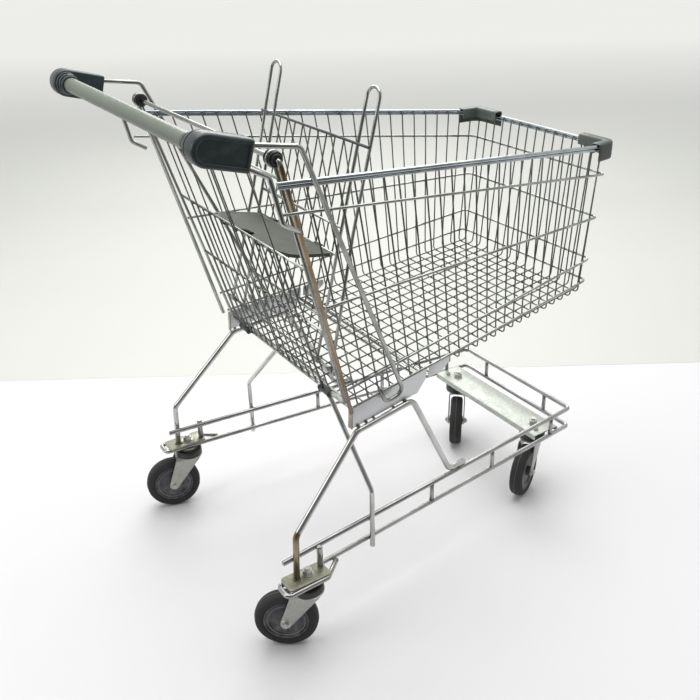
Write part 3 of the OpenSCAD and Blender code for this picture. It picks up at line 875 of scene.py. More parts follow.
def lathe(bm: bmesh.types.BMesh, profile: Sequence[Flat], steps: int = 48,
          place: Matrix | None = None) -> None:
    """Turns a closed profile of (radius, height) about the Z axis.

    Args:
        bm: Where the shape goes.
        profile: Corner points of the closed profile, none on the axis.
        steps: Steps round the axis.
        place: Where the shape goes.
    """
    place = place or Matrix.Identity(4)
    rings = []
    for i in range(steps):
        a = 2 * math.pi * i / steps
        rings.append([tuple(place @ Vector((r * math.cos(a), r * math.sin(a), h))) for r, h in profile])
    bridge(bm, rings, closed_path=True)


def rounded(corners: Sequence[tuple[float, float, float]], steps: int = 5) -> list[Flat]:
    """Outline with rounded corners.

    Args:
        corners: (x, y, radius) of each corner, in order.
        steps: Steps in each corner.

    Returns:
        Points of the outline.
    """
    out: list[Flat] = []
    n = len(corners)
    for i, (x, y, r) in enumerate(corners):
        here = Vector((x, y))
        back = (Vector(corners[i - 1][:2]) - here)
        ahead = (Vector(corners[(i + 1) % n][:2]) - here)
        if r <= 0:
            out.append((x, y))
            continue
        u, v = back.normalized(), ahead.normalized()
        angle = u.angle(v)
        cut = min(r / math.tan(angle / 2), back.length * 0.49, ahead.length * 0.49)
        real = cut * math.tan(angle / 2)
        centre = here + (u + v).normalized() * (real / math.sin(angle / 2))
        a, b = here + u * cut - centre, here + v * cut - centre
        swing = a.angle_signed(b)
        for k in range(steps + 1):
            p = centre + Matrix.Rotation(-swing * k / steps, 2) @ a
            out.append((p.x, p.y))
    return out


def slab(bm: bmesh.types.BMesh, outline: Sequence[Flat], low: float, high: float,
         place: Matrix | None = None) -> None:
    """Plate with a given outline between two heights.

    Args:
        bm: Mesh to add to.
        outline: Corners of the plate.
        low: Lower height.
        high: Upper height.
        place: Where the plate goes.
    """
    place = place or Matrix.Identity(4)
    bridge(bm, [[tuple(place @ Vector((x, y, z))) for x, y in outline] for z in (low, high)])


def repaint(piece: bpy.types.Object, finish: Finish, where: Callable[[Vector], bool],
            place: Matrix | None = None) -> None:
    """Gives some faces of a piece another finish.

    Args:
        piece: The piece.
        finish: The finish of the chosen faces.
        where: Says whether a face is chosen, from its centre in millimetres.
        place: Frame of that centre, or the working frame.
    """
    piece.data.materials.append(finish.material())
    back = (row_place() @ (place or Matrix.Identity(4))).inverted()
    for face in piece.data.polygons:
        if where(back @ face.center):
            face.material_index = 1


def fit(piece: bpy.types.Object, body: str, slot: Slot, *nodes: str) -> bpy.types.Object:
    """Puts a finished piece on its body, in place of its CAD nodes.

    Args:
        piece: The finished piece.
        body: The body it moves with.
        slot: The record's material slot; not used.
        nodes: The CAD nodes it stands for.

    Returns:
        The piece.
    """
    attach(piece, body)
    if nodes:
        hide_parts(*nodes)
    LOG.info("%s: %d faces on %s", piece.name, len(piece.data.polygons), body)
    return piece


def upright(x: float, y: float, z: float, turn: float = 0.0) -> Matrix:
    """A frame with its Z axis up, turned about it.

    Args:
        x: Distance to the nose.
        y: Distance to the left.
        z: Height.
        turn: Turn in degrees.

    Returns:
        The frame.
    """
    return Matrix.Translation((x, y, z)) @ Matrix.Rotation(math.radians(turn), 4, "Z")


def sideways(x: float, y: float, z: float) -> Matrix:
    """A frame whose Z axis points to the trolley's left and whose X axis points to the nose.

    Args:
        x: Distance to the nose.
        y: Distance to the left.
        z: Height.

    Returns:
        The frame.
    """
    return Matrix.Translation((x, y, z)) @ Matrix.Rotation(math.radians(-90), 4, "X")


SIDES = (("right", -1), ("left", 1))


# ---------------------------------------------------------------- sub-assemblies
@dataclass
class Handle:
    """Grip sleeve, its two end caps and the wires that carry them."""

    x: float = -461.0
    z: float = 986.0
    radius: float = 13.0
    half: float = 263.5
    cap_in: float = 285.0
    cap_out: float = 319.0
    cap_radius: float = 24.0
    cap_len: float = 68.0
    tilt: float = 16.0
    wire: float = 8.0

    def build(self) -> None:
        """Builds every piece of the handle."""
        self.sleeve()
        for label, side in SIDES:
            self.cap(label, side)
        self.carriers()

    def sleeve(self) -> None:
        """Grip sleeve with a rounded end bead and a faint moulding seam along it."""
        r, h = self.radius, self.half
        bm = bmesh.new()
        steps = 64
        stations = [(-h, -1.6), (-h + 0.6, -0.5), (-h + 2, 0), (-h + 7, 0), (-h + 7.6, -0.5),
                    (-h + 9, -0.5),
                    (-h + 9.6, 0), (-h * 0.5, 0.0), (0, 0)]
        stations += [(-y, d) for y, d in reversed(stations[:-1])]
        rings = []
        for y, d in stations:
            ring = []
            for i in range(steps):
                a = 2 * math.pi * i / steps
                seam = 0.16 if i in (8, 40) else 0.0
                radius = r + d + seam
                ring.append((self.x + radius * math.cos(a), y, self.z + radius * math.sin(a)))
            rings.append(ring)
        bridge(bm, rings)
        fit(finish_mesh("grip_sleeve", bm, Finish.SLEEVE), "root", Slot.GRIP, "handle_tube")

    def outline(self, inset: float, steps: int = 9) -> list[Flat]:
        """Side outline of a cap: round at the back, square at the front.

        Args:
            inset: Distance inwards from the full outline.
            steps: Points across the front edge.

        Returns:
            Corners as (x, z).
        """
        r = self.cap_radius - inset
        front = self.cap_len - inset
        corner = max(4.5 - inset, 1.2)
        back = [(-r * math.sin(a), -r * math.cos(a)) for a in (math.pi * i / 16 for i in range(17))]
        ends = rounded([(0, r, 0), (front, r, corner), (front, -r, corner), (0, -r, 0)], steps // 2)
        return back + ends[1:-1]

    def cap(self, label: str, side: int) -> None:
        """End cap with a ridged collar, rounded rims and a sunk outer panel.

        Args:
            label: right or left.
            side: -1 or 1.
        """
        bm = bmesh.new()
        place = Matrix.Translation((self.x, 0, self.z)) @ Matrix.Rotation(math.radians(self.tilt), 4,
                "Y")
        a, b = self.cap_in, self.cap_out
        stack = [(a, 3.2), (a + 0.5, 1.5), (a + 1.8, 0.4), (a + 3.2, 0), (a + 6.5, 0), (a + 7.1, 0.9),
                 (a + 8.3, 0.9), (a + 8.9, 0), (b - 6, 0), (b - 3.2, 0.5), (b - 1.4, 1.6),
                 (b - 0.3, 3.4),
                 (b, 5.2), (b, 7.2), (b - 0.5, 7.9), (b - 1.5, 8.2)]
        bridge(bm, [[tuple(place @ Vector((x, side * y, z))) for x, z in self.outline(inset)] for y,
                    inset in stack])
        near = self.half + 0.4
        collar = [(13.3, near), (15.4, near), (16.6, near + 1.4), (16.6, near + 4.6),
                  (15.5, near + 5.4),
                  (15.5, near + 7), (17.8, near + 8.2), (18.6, near + 12), (17.4, near + 13),
                  (17.4, near + 14.6),
                  (20.2, near + 16), (21.0, a + 1.5), (13.3, a + 1.5)]
        lathe(bm, [(r, side * y) for r, y in collar], 56, sideways(self.x, 0, self.z))
        fit(finish_mesh(f"cap_moulding_{label}", bm, Finish.CAP), "root", Slot.CAP,
            f"handle_cap_{label}")

    def carriers(self) -> None:
        """Bent wires from the caps to the posts, the long pair with hooks at their feet."""
        upper = [(-404, 302, 982), (-316, 307, 967), (-95, 257, 466), (-137, 256.5, 456),
                 (-147, 256.5, 490)]
        lower = [(-410, 302, 955), (-366, 302, 930), (-350, 305, 858), (-322, 303, 840)]
        for label, side in SIDES:
            run = [(x, side * y, z) for x, y, z in upper]
            long = draw_wires(f"carrier_long_{label}", [Wire(run, 15)], self.wire, Finish.WIRE, 16, 7)
            fit(long, "root", Slot.CHROME, "handle_wires_upper")
        short = [Wire([(x, s * y, z) for x, y, z in lower], 10) for _, s in SIDES]
        fit(draw_wires("carriers_short", short, self.wire, Finish.WIRE, 16, 7), "root", Slot.CHROME,
            "handle_wires_lower")


@dataclass
class RearHinge:
    """Bent rod with the two posts, and the black bushes the flap turns on."""

    x: float = -337.0
    z: float = 944.0
    half: float = 281.0
    diameter: float = 8.0
    bush_y: float = 262.5
    foot: Point = (-212.0, 259.0, 462.0)

    def build(self) -> None:
        """Builds the rod and the bushes."""
        line = across([self.foot, (self.x, self.half, self.z)])
        rod = draw_wires("hinge_and_posts", [Wire(line, 7)], self.diameter, Finish.WIRE, 16, 8)
        repaint(rod, Finish.BROWNED, lambda p: p.y < 0 and p.z < self.z - 90)
        fit(rod, "root", Slot.CHROME, "hinge_rod")
        bm = bmesh.new()
        for _, side in SIDES:
            profile = [(4.05, -10), (10.4, -10), (12, -9), (12, -7), (11, -6), (7.6, -6), (7.6, 6),
                       (11, 6),
                       (12, 7), (12, 8.6), (10.8, 10), (9.2, 10), (8.8, 13.5), (7.6, 14.5),
                       (4.05, 14.5)]
            lathe(bm, [(r, side * h) for r, h in profile], 40,
                  sideways(self.x, side * self.bush_y, self.z))
        fit(finish_mesh("flap_bushes", bm, Finish.BLACK), "root", Slot.BLACK, "hinge_bushes")


@dataclass
class Basket:
    """Rims, hoops, bent grille wires, floor rods, corner bumpers and side plates."""

    nose_half: float = 203.0
    corner: float = 14.0
    rear: tuple[Point, ...] = ((-353, 300, 917), (-347, 296, 869), (-264, 275, 690), (-217, 257, 512),
                               (-205, 253, 469))
    nose: tuple[Flat, ...] = ((458, 822), (451.5, 764), (442.7, 675), (433.9, 585), (429.2, 537))
    rim: float = 7.0
    rim_low: float = 5.0
    hoop: float = 5.0
    mesh: float = 3.0
    side_count: int = 25
    nose_count: int = 15
    floor_drop: float = 24.0
    bend: float = 9.0
    inset: float = 6.3
    welds: list[tuple[Point, Point]] = field(default_factory=list)

    def at(self, k: int, x: float) -> Point:
        """Point of hoop k on the left side; k = 0 is the rim.

        Args:
            k: Number of the hoop.
            x: Distance to the nose.

        Returns:
            The point.
        """
        end = (self.nose[k][0], self.nose_half, self.nose[k][1])
        return lerp(self.rear[k], end, (x - self.rear[k][0]) / (end[0] - self.rear[k][0]))

    def floor(self, x: float) -> float:
        """Height of the floor wires.

        Args:
            x: Distance to the nose.

        Returns:
            The height.
        """
        return self.at(4, x)[2] - self.floor_drop

    def loop(self, k: int, down: float = 0.0) -> Wire:
        """Centre line of a hoop round the basket.

        Args:
            k: Number of the hoop.
            down: Distance below it.

        Returns:
            The line.
        """
        rear = (self.rear[k][0], self.rear[k][1], self.rear[k][2] - down)
        nose = (self.nose[k][0], self.nose_half, self.nose[k][1] - down)
        return Wire(across([rear, nose]), self.corner)

    def build(self) -> None:
        """Builds every piece of the basket."""
        low = (self.rim + self.rim_low) / 2 + 0.1
        fit(draw_wires("rim_top_wire", [self.loop(0)], self.rim, Finish.RIM_WIRE, 18, 8), "root",
            Slot.CHROME,
            "rim_upper")
        fit(draw_wires("rim_under_wire", [self.loop(0, low)], self.rim_low, Finish.RIM_WIRE, 14, 8),
            "root",
            Slot.CHROME, "rim_lower")
        for k in range(1, 5):
            fit(draw_wires(f"basket_hoop_{k}", [self.loop(k)], self.hoop, Finish.WIRE, 12, 7), "root",
                Slot.CHROME, f"hoop_{k}")
        self.cross_wires()
        self.long_wires()
        self.floor_rods()
        fit(weld("basket_welds", self.welds, 2.1, 0.75), "root", Slot.CHROME)
        for label, side in SIDES:
            self.bumper(label, side)
            self.plate(label, side)

    def crossing(self, top: Point, low: Point, k: int) -> Point:
        """Where a leaning upright wire passes a hoop's height.

        Args:
            top: Upper end of the wire.
            low: Lower end of the wire.
            k: Number of the hoop.

        Returns:
            The point.
        """
        a, b = 0.0, 1.0
        for _ in range(24):
            t = (a + b) / 2
            p = lerp(top, low, t)
            a, b = (t, b) if p[2] > self.at(k, p[0])[2] else (a, t)
        return lerp(top, low, (a + b) / 2)

    def cross_wires(self) -> None:
        """U-shaped wires down one side, across the floor and up the other."""
        wires = []
        for i in range(self.side_count):
            t = i / (self.side_count - 1)
            x = -186 + 598 * t
            rim = self.at(0, -300 + 736 * t)
            top = (rim[0], rim[1] - self.inset, rim[2] + 1)
            low = (x, self.at(4, x)[1] - self.inset, self.floor(x))
            wires.append(Wire(across([top, low]), self.bend))
            for k in range(5):
                p = self.crossing(top, low, k)
                for s in (-1, 1):
                    y = (p[1] + self.at(k, p[0])[1]) / 2
                    self.welds.append(((p[0], s * y, p[2]), (0, 1, 0)))
        fit(draw_wires("cross_wires", wires, self.mesh, Finish.FINE_WIRE, 8, 5), "root", Slot.CHROME,
            "side_wires_right", "side_wires_left", "floor_cross_wires")

    def long_wires(self) -> None:
        """Wires down the nose and along the floor to its rear edge."""
        half = self.nose_half - self.corner - 3
        lift = self.mesh + 0.1
        wires = []
        for i in range(self.nose_count):
            y = -half + 2 * half * i / (self.nose_count - 1)
            top = (self.nose[0][0] - 5.1, y, self.nose[0][1] + 1)
            low = (self.nose[4][0] - 5.6, y, self.floor(self.nose[4][0]) + lift)
            end = (-189.0, y * 1.22, self.floor(-189) + lift)
            wires.append(Wire([top, low, end], self.bend))
            for k in range(5):
                t = (top[2] - self.nose[k][1]) / (top[2] - low[2])
                p = lerp(top, low, t)
                self.welds.append((((p[0] + self.nose[k][0]) / 2, y, self.nose[k][1]), (1, 0, 0)))
            for j in range(self.side_count):
                x = -186 + 598 * j / (self.side_count - 1)
                t = (low[0] - x) / (low[0] - end[0])
                p = lerp(low, end, t)
                self.welds.append(((x, p[1], (p[2] + self.floor(x)) / 2), (0, 0, 1)))
        fit(draw_wires("long_wires", wires, self.mesh, Finish.FINE_WIRE, 8, 5), "root", Slot.CHROME,
            "nose_wires", "floor_long_wires")

    def floor_rods(self) -> None:
        """Heavy rods under the floor."""
        wires = []
        for x in (-188, -34, -20):
            y = self.at(4, x)[1] - 8
            z = self.floor(x) - (self.mesh + 8) / 2 - 0.1
            wires.append(Wire([(x + 4, -y, z), (x + 4, y, z)]))
            self.welds += [((x + 4, s * y, z + 3), (0, 0, 1)) for s in (-1, 1)]
        fit(draw_wires("floor_rods", wires, 8, Finish.WIRE, 14, 4), "root", Slot.CHROME,
            "floor_support_rods")

    def bumper(self, label: str, side: int) -> None:
        """Moulded C-shaped cover round a nose corner of the rim.

        Args:
            label: right or left.
            side: -1 or 1.
        """
        run = Vector((self.nose[0][0] - self.rear[0][0], self.nose_half - self.rear[0][1]))
        along = run.normalized()
        centre = Vector((self.nose[0][0] - self.corner, self.nose_half - self.corner))
        normal = Vector((-along.y, along.x))
        start = math.atan2(normal.y, normal.x)
        stations: list[tuple[Vector, Vector]] = []
        for d in (34, 33.2, 24, 12):
            stations.append((centre + normal * self.corner - along * d, normal))
        for i in range(9):
            a = start * (1 - i / 8)
            n = Vector((math.cos(a), math.sin(a)))
            stations.append((centre + n * self.corner, n))
        for d in (20, 42, 61.2, 62):
            stations.append((centre + Vector((self.corner, -d)), Vector((1, 0))))
        section = [(-12, 812), (-12, 830.5), (-10.5, 832.6), (-8, 833.4), (4.6, 833.4), (7.4, 832.4),
                   (9, 829.5),
                   (9.3, 824), (9.3, 803), (8.9, 799.4), (8, 798), (7, 798.4), (6.9, 803), (6.9, 829),
                   (5.6, 831),
                   (-8.4, 831), (-9.8, 829.6), (-10, 812)]
        rings = []
        last = len(stations) - 1
        for i, (p, n) in enumerate(stations):
            trim = 0.5 if i in (0, last) else 0.0
            ring = []
            for o, z in section:
                o -= trim if o > 8 else 0
                z -= trim if z > 832 else 0
                q = p + n * o
                ring.append((q.x, side * q.y, z))
            rings.append(ring)
        bm = bmesh.new()
        bridge(bm, rings)
        fit(finish_mesh(f"bumper_{label}", bm, Finish.BUMPER, sharp=50), "root", Slot.BUMPER,
            f"corner_bumper_{label}")

    def plate(self, label: str, side: int) -> None:
        """Side plate with its inward fold at the rear and a second small piece in front.

        Args:
            label: right or left.
            side: -1 or 1.
        """
        back = self.rear[4]
        far = self.at(4, 34)
        turn = math.degrees(math.atan2(far[1] - back[1], far[0] - back[0]))
        mirror = Matrix.Scale(side, 4, (0, 1, 0))
        place = mirror @ upright(back[0], back[1] - self.hoop / 2 - 0.1, 0, turn) @ Matrix.Rotation(
            math.radians(90), 4, "X")
        bm = bmesh.new()
        slab(bm, rounded([(0, 423, 2), (2, 466, 2), (181, 485, 3), (178, 462, 4), (157, 437, 6),
                          (145, 437, 2)], 4),
             0, 2, place)
        slab(bm, rounded([(185, 462, 2), (187, 485.5, 2), (239, 491, 4), (239, 478, 6), (217, 462, 5)],
                         4), 0, 2,
             place)
        soften(bm, 0.4)
        fit(finish_mesh(f"side_plate_{label}", bm, Finish.GALVANISED), "root", Slot.GALVANISED,
            "side_plates")
        bm = bmesh.new()
        slab(bm, rounded([(-2.2, 421, 1), (-0.2, 466, 1), (1.6, 466, 1), (-0.2, 421, 1)], 2), -0.4, 11,
             place)
        soften(bm, 0.3)
        fit(finish_mesh(f"plate_fold_{label}", bm, Finish.FOLD), "root", Slot.GALVANISED)
        spots = [tuple(place @ Vector((x, z, -1))) for x,
                 z in ((12, 424), (30, 426), (48, 427.5), (96, 431), (124, 434))]
        fit(weld(f"plate_welds_{label}", [(p, (0, 0, 1)) for p in spots], 4.0, 0.6), "root",
            Slot.CHROME)


@dataclass
class Chassis:
    """Legs, rails, caster plates, bolts and dust cups."""

    rail_rear: Flat = (-364.0, 263.5)
    rail_nose: Flat = (443.0, 184.0)
    high: float = 200.0
    low: float = 152.0
    rail: float = 10.0
    leg: float = 12.0
    leg_y: float = 273.7
    plate: Point = (-329.0, 274.0, 157.1)
    front: Point = (376.0, 138.0, 157.1)
    plate_t: float = 3.0
    cup: float = 30.0
    fork_top: float = 134.0

    def rail_y(self, x: float) -> float:
        """Half width between the rails.

        Args:
            x: Distance to the nose.

        Returns:
            The half width.
        """
        t = (x - self.rail_rear[0]) / (self.rail_nose[0] - self.rail_rear[0])
        return self.rail_rear[1] + (self.rail_nose[1] - self.rail_rear[1]) * t

    def build(self) -> None:
        """Builds every piece of the chassis."""
        self.legs()
        self.rails()
        self.rear_plates()
        self.channel()
        self.fasteners()
        self.cups()

    def legs(self) -> None:
        """Arched main legs and the cross leg frame."""
        end = self.high + (self.rail + self.leg) / 2 + 0.1
        foot = self.plate[2] + self.plate_t + 0.3
        line = [(-352, self.leg_y, foot), (-348, self.leg_y, 257), (-197, 251, 414), (-64, 243, 430),
                (50, 221, end), (96, 217, end)]
        for label, side in SIDES:
            run = [(x, side * y, z) for x, y, z in line]
            leg = draw_wires(f"arched_leg_{label}", [Wire(run, 22)], self.leg, Finish.TUBE, 20, 9)
            repaint(leg, Finish.BROWNED, lambda p: p.x < -340 and p.y < 0 and p.z > 185)
            fit(leg, "root", Slot.CHROME, f"main_leg_{label}")
        side = self.rail_y(-168) + (self.rail + 10) / 2 + 0.1
        arch = across([(-168, side, 134), (-168, side, 270), (-168, 82, 442)])
        fit(draw_wires("cross_legs", [Wire(arch, 20)], 10, Finish.TUBE, 18, 8), "root", Slot.CHROME,
            "cross_leg_frame")

    def rails(self) -> None:
        """Upper and lower rails, the struts between them and their welds."""
        nx, ny = self.rail_nose
        upper = across([(-374, self.rail_y(-374), self.high), (nx, ny, self.high)])
        fit(draw_wires("top_rail", [Wire(upper, 9)], self.rail, Finish.RAIL, 16, 7), "root",
            Slot.CHROME,
            "rail_upper")
        run = self.plate[1] + 26
        lower = across([(-258, 263.2, self.low), (-298, run - 3, self.low), (-386, run, self.low),
                        (-386, self.rail_y(-386), self.low), (nx, ny, self.low)])
        fit(draw_wires("bottom_rail", [Wire(lower, 9)], self.rail, Finish.RAIL, 16, 7), "root",
            Slot.CHROME,
            "rail_lower")
        a, b = self.low + self.rail / 2 - 0.6, self.high - self.rail / 2 + 0.6
        thin, posts, beads = [], [], []
        for _, s in SIDES:
            spots = [(px, s * self.rail_y(px)) for px in (1, 183, 380)] + [(nx, s * 104)]
            thin += [Wire([(px, py, a), (px, py, b)]) for px, py in spots]
            beads += [((px, py, z), (0, 0, 1)) for px, py in spots for z in (a + 0.6, b - 0.6)]
            py = s * (self.rail_y(-297) + self.rail / 2 + 6.1)
            top = self.plate[2] + self.plate_t
            posts.append(Wire([(-297, py, top), (-297, py, self.high + 2), (-297, py, self.high + 6)]))
            side = self.rail_y(-168)
            beads += [((-168, s * (side + 4), z), (0, 1, 0)) for z in (self.low, self.high)]
            beads += [((-350, s * (self.rail_y(-350) + 3.4), self.high), (0, 1, 0)),
                      ((-297, py, top), (0, 0, 1)), ((-297, py - s * 5, self.high), (0, 1, 0)),
                      ((76, s * (self.rail_y(76) + 2), self.high + 5), (0, 0, 1)),
                      ((-356, s * self.leg_y, top), (0, 0, 1)),
                      ((-348, s * (self.leg_y - 4), top), (0, 0, 1)),
                      ((-262, s * 260, self.low + 2), (0, 0, 1)),
                      ((-120, s * 247, 424), (0, 1, 0))]
        fit(draw_wires("rail_stays", thin, 9, Finish.RAIL, 14, 4), "root", Slot.CHROME, "rail_struts")
        fit(draw_wires("rear_posts", posts, 12, Finish.RAIL, 18, 4), "root", Slot.CHROME)
        fit(weld("chassis_welds", beads, 5.0, 0.5), "root", Slot.CHROME)

    def rear_plates(self) -> None:
        """Pressed plates over the rear casters, with a raised pad round each bolt."""
        bm = bmesh.new()
        x, y, z = self.plate
        for _, s in SIDES:
            place = Matrix.Translation((x, s * y, z))
            outline = rounded([(-50, -18 * s, 8), (-50, 23 * s, 8), (39, 23 * s, 6),
                               (39, -18 * s, 6)][::s], 5)
            slab(bm, outline, 0, self.plate_t, place)
            pad = [(6.1, self.plate_t), (17.5, self.plate_t), (16, self.plate_t + 1.2),
                   (6.1, self.plate_t + 1.2)]
            lathe(bm, pad, 40, place)
        soften(bm, 0.7)
        fit(finish_mesh("rear_mounting_plates", bm, Finish.OLIVE), "root", Slot.GALVANISED,
            "rear_caster_plates")

    def channel(self) -> None:
        """Folded channel across the nose, with rounded folds."""
        x, _, z = self.front
        top, bottom, lip, half = z + self.plate_t, z - 9, 2.5, 37.0
        outer = rounded([(-half, bottom, 0.5), (-half, top, 3.2), (half, top, 3.2),
                         (half, bottom, 0.5)], 4)
        inner = rounded([(half - lip, bottom, 0.4), (half - lip, z, 1.2), (lip - half, z, 1.2),
                         (lip - half, bottom, 0.4)], 3)
        bm = bmesh.new()
        bridge(bm, [[(x + px, y, pz) for px, pz in outer + inner] for y in (-181.3, 181.3)])
        fit(finish_mesh("front_channel", bm, Finish.CHANNEL), "root", Slot.CHANNEL,
            "front_caster_plate")

    def fasteners(self) -> None:
        """Nuts over the four swivels, and the small rivets beside the front ones."""
        x, y, z = self.plate
        fx, fy, _ = self.front
        top = z + self.plate_t
        spots = [((x, s * y, top + 1.2), (0, 0, 1)) for _, s in SIDES]
        spots += [((fx, s * fy, top), (0, 0, 1)) for _, s in SIDES]
        sizes = {"Across Corners": 0.0205, "Nut Height": 0.0075, "Thread Diameter": 0.0115,
                 "Thread Height": 0.004,
                 "Washer Diameter": 0.0245, "Washer Height": 0.0014}
        fit(scatter("swivel_nuts", spots, "nut", sizes, Finish.PRESSED), "root", Slot.FORK,
            "caster_bolts")
        small = [((fx - 14, s * (fy + 24), top), (0, 0, 1)) for _, s in SIDES]
        sizes = {"Across Corners": 0.012, "Nut Height": 0.004, "Thread Diameter": 0.0065,
                 "Thread Height": 0.002,
                 "Washer Diameter": 0.014, "Washer Height": 0.001}
        fit(scatter("channel_nuts", small, "nut", sizes, Finish.PRESSED), "root", Slot.FORK)

    def cups(self) -> None:
        """Black dust cups and the bright bearing rings over them."""
        r, top, low = self.cup, self.fork_top + 15, self.fork_top + 0.6
        cups, rings = bmesh.new(), bmesh.new()
        cup = [(14, top - 1.5), (r - 5, top - 1.5), (r - 3.4, top), (r - 1.6, top - 0.2),
               (r - 0.3, top - 2),
               (r, top - 4), (r, low + 1), (r - 0.8, low), (r - 2.2, low), (r - 2.2, top - 4),
               (14, top - 4)]
        step = self.plate[2] + LIFT - self.rail - 0.5
        ring = [(6.1, top - 3), (19, top - 3), (20, top - 1), (20, step - 0.8), (19, step), (8.5, step),
                (8.5, self.plate[2] + LIFT - 0.2), (6.1, self.plate[2] + LIFT - 0.2)]
        for x, y in ((self.plate[0], self.plate[1]), (self.front[0], self.front[1])):
            for _, s in SIDES:
                lathe(cups, cup, 56, upright(x, s * y, -LIFT))
                lathe(rings, ring, 48, upright(x, s * y, -LIFT))
        fit(finish_mesh("swivel_cups", cups, Finish.BLACK), "root", Slot.BLACK, "dust_cups")
        fit(finish_mesh("bearing_rings", rings, Finish.PRESSED), "root", Slot.FORK)


@dataclass
class RearFlap:
    """Hinged rear grille with its leg openings, bottom rods, pivot rod and clips."""

    hinge: Point = (-337.0, 0.0, 944.0)
    angle: float = 15.5
    length: float = 499.0
    bush_y: float = 262.5
    bottom_half: float = 225.0
    wire: float = 6.0
    cross: float = 5.0
    thin: float = 3.0
    eye: float = 10.6
    clip_y: float = 162.0
    clip_len: float = 36.0
    pivot: Point = (-213.0, 0.0, 523.0)

    def at(self, y: float, down: float, ahead: float = 0.0) -> Point:
        """Point of the flap at a distance down its plane and a distance in front of it.

        Args:
            y: Distance to the left.
            down: Distance down the plane from the hinge.
            ahead: Distance in front of the plane.

        Returns:
            The point.
        """
        s, c = math.sin(math.radians(self.angle)), math.cos(math.radians(self.angle))
        x, _, z = self.hinge
        return (x + s * down + c * ahead, y, z - c * down + s * ahead)

    def half_at(self, down: float) -> float:
        """Half width between the side wires.

        Args:
            down: Distance down the plane from the hinge.

        Returns:
            The half width.
        """
        return self.bush_y + (self.bottom_half - self.bush_y) * down / self.length

    def build(self) -> None:
        """Builds every piece of the flap."""
        welds = []
        frame_wires = []
        x, _, z = self.hinge
        for _, s in SIDES:
            ring = [(x + self.eye * math.cos(a), s * self.bush_y, z + self.eye * math.sin(a))
                    for a in (2 * math.pi * i / 28 for i in range(28))]
            frame_wires += [Wire(ring, 0.5, True),
                            Wire([self.at(s * self.bush_y, self.eye),
                                  self.at(s * self.bottom_half, self.length - 3)])]
            welds.append((self.at(s * self.bush_y, self.eye + 2), (0, 1, 0)))
            welds.append((self.at(s * self.bottom_half, self.length - 3), (0, 1, 0)))
        fit(draw_wires("flap_sides", frame_wires, self.wire, Finish.WIRE, 14, 3), "flap", Slot.CHROME,
            "flap_frame")
        behind = -(self.cross + self.thin) / 2
        low = self.length - 4
        thin = []
        for _, s in SIDES:
            thin += [Wire([self.at(s * y, 29, behind), self.at(s * y, low, behind)]) for y in (5, 155)]
            thin += [Wire([self.at(s * (5 + i * 25.5), 194, behind),
                           self.at(s * (5 + i * 25.5), low, behind)])
                     for i in range(1, 8)]
            for down in (34, 200, 330):
                for i in range(9):
                    y = (5, 155)[i - 7] if i > 6 else 5 + (i + 1) * 25.5
                    if down > 100 or i > 6:
                        welds.append((self.at(s * y, down, behind / 2), (1, 0, 0)))
        fit(draw_wires("flap_grille", thin, self.thin, Finish.FINE_WIRE, 8, 3), "flap", Slot.CHROME,
            "flap_wires")
        rods = []
        for down in (34, 200, 330):
            half = self.half_at(down) - 2
            rods.append(Wire([self.at(-half, down), self.at(half, down)]))
            welds += [(self.at(s * half, down), (0, 1, 0)) for s in (-1, 1)]
        fit(draw_wires("flap_cross_rods", rods, self.cross, Finish.WIRE, 12, 3), "flap", Slot.CHROME,
            "flap_cross_wires")
        half = self.bottom_half - 2
        fit(draw_wires("flap_bottom_rod", [Wire([self.at(-half, self.length),
                                                 self.at(half, self.length)])], 8,
                       Finish.WIRE, 16, 3), "flap", Slot.CHROME, "flap_bottom_rods")
        upper = self.length - 16
        rungs = [Wire([self.at(-half, upper), self.at(half, upper)])]
        rungs += [Wire([self.at(i * 25, upper + 1), self.at(i * 25,
                                                            self.length - 3)]) for i in range(-6, 7)]
        fit(draw_wires("flap_bottom_ladder", rungs, 4.4, Finish.WIRE, 10, 3), "flap", Slot.CHROME)
        px, _, pz = self.pivot
        s, c = math.sin(math.radians(self.angle)), math.cos(math.radians(self.angle))
        dx, dz = px - self.hinge[0], pz - self.hinge[2]
        ahead, down = dx * c + dz * s, dx * s - dz * c
        pivot = [Wire([(px, -216, pz), (px, 216, pz)])]
        pivot += [Wire([self.at(side * 212, down, 1),
                        self.at(side * 212, down, ahead)]) for side in (-1, 1)]
        fit(draw_wires("backrest_pivot", pivot, 6, Finish.WIRE, 14, 3), "flap", Slot.CHROME,
            "flap_pivot_rod")
        fit(weld("flap_welds", welds, 2.2, 0.8), "flap", Slot.CHROME)
        self.clips()

    def clips(self) -> None:
        """Moulded bumpers over the bottom rod, with end flanges."""
        bm = bmesh.new()
        for _, side in SIDES:
            place = Matrix.Translation(self.at(side * self.clip_y, self.length)) @ Matrix.Rotation(
                math.radians(-self.angle), 4, "Y") @ Matrix.Rotation(math.radians(-90), 4, "X")
            half = self.clip_len / 2
            stack = [(-half, 1.4), (-half + 0.8, 0.2), (-half + 3.5, 0), (-half + 4.1, 0.9),
                     (half - 4.1, 0.9),
                     (half - 3.5, 0), (half - 0.8, 0.2), (half, 1.4)]
            rings = []
            for y, inset in stack:
                outline = rounded([(-10 + inset, -6 + inset, 4), (-10 + inset, 8 - inset, 5),
                                   (8 - inset, 8 - inset, 5),
                                   (8 - inset, -6 + inset, 4)], 4)
                rings.append([tuple(place @ Vector((x, z, y))) for x, z in outline])
            bridge(bm, rings)
        fit(finish_mesh("flap_bumpers", bm, Finish.CLIP), "flap", Slot.CLIP, "flap_clips")


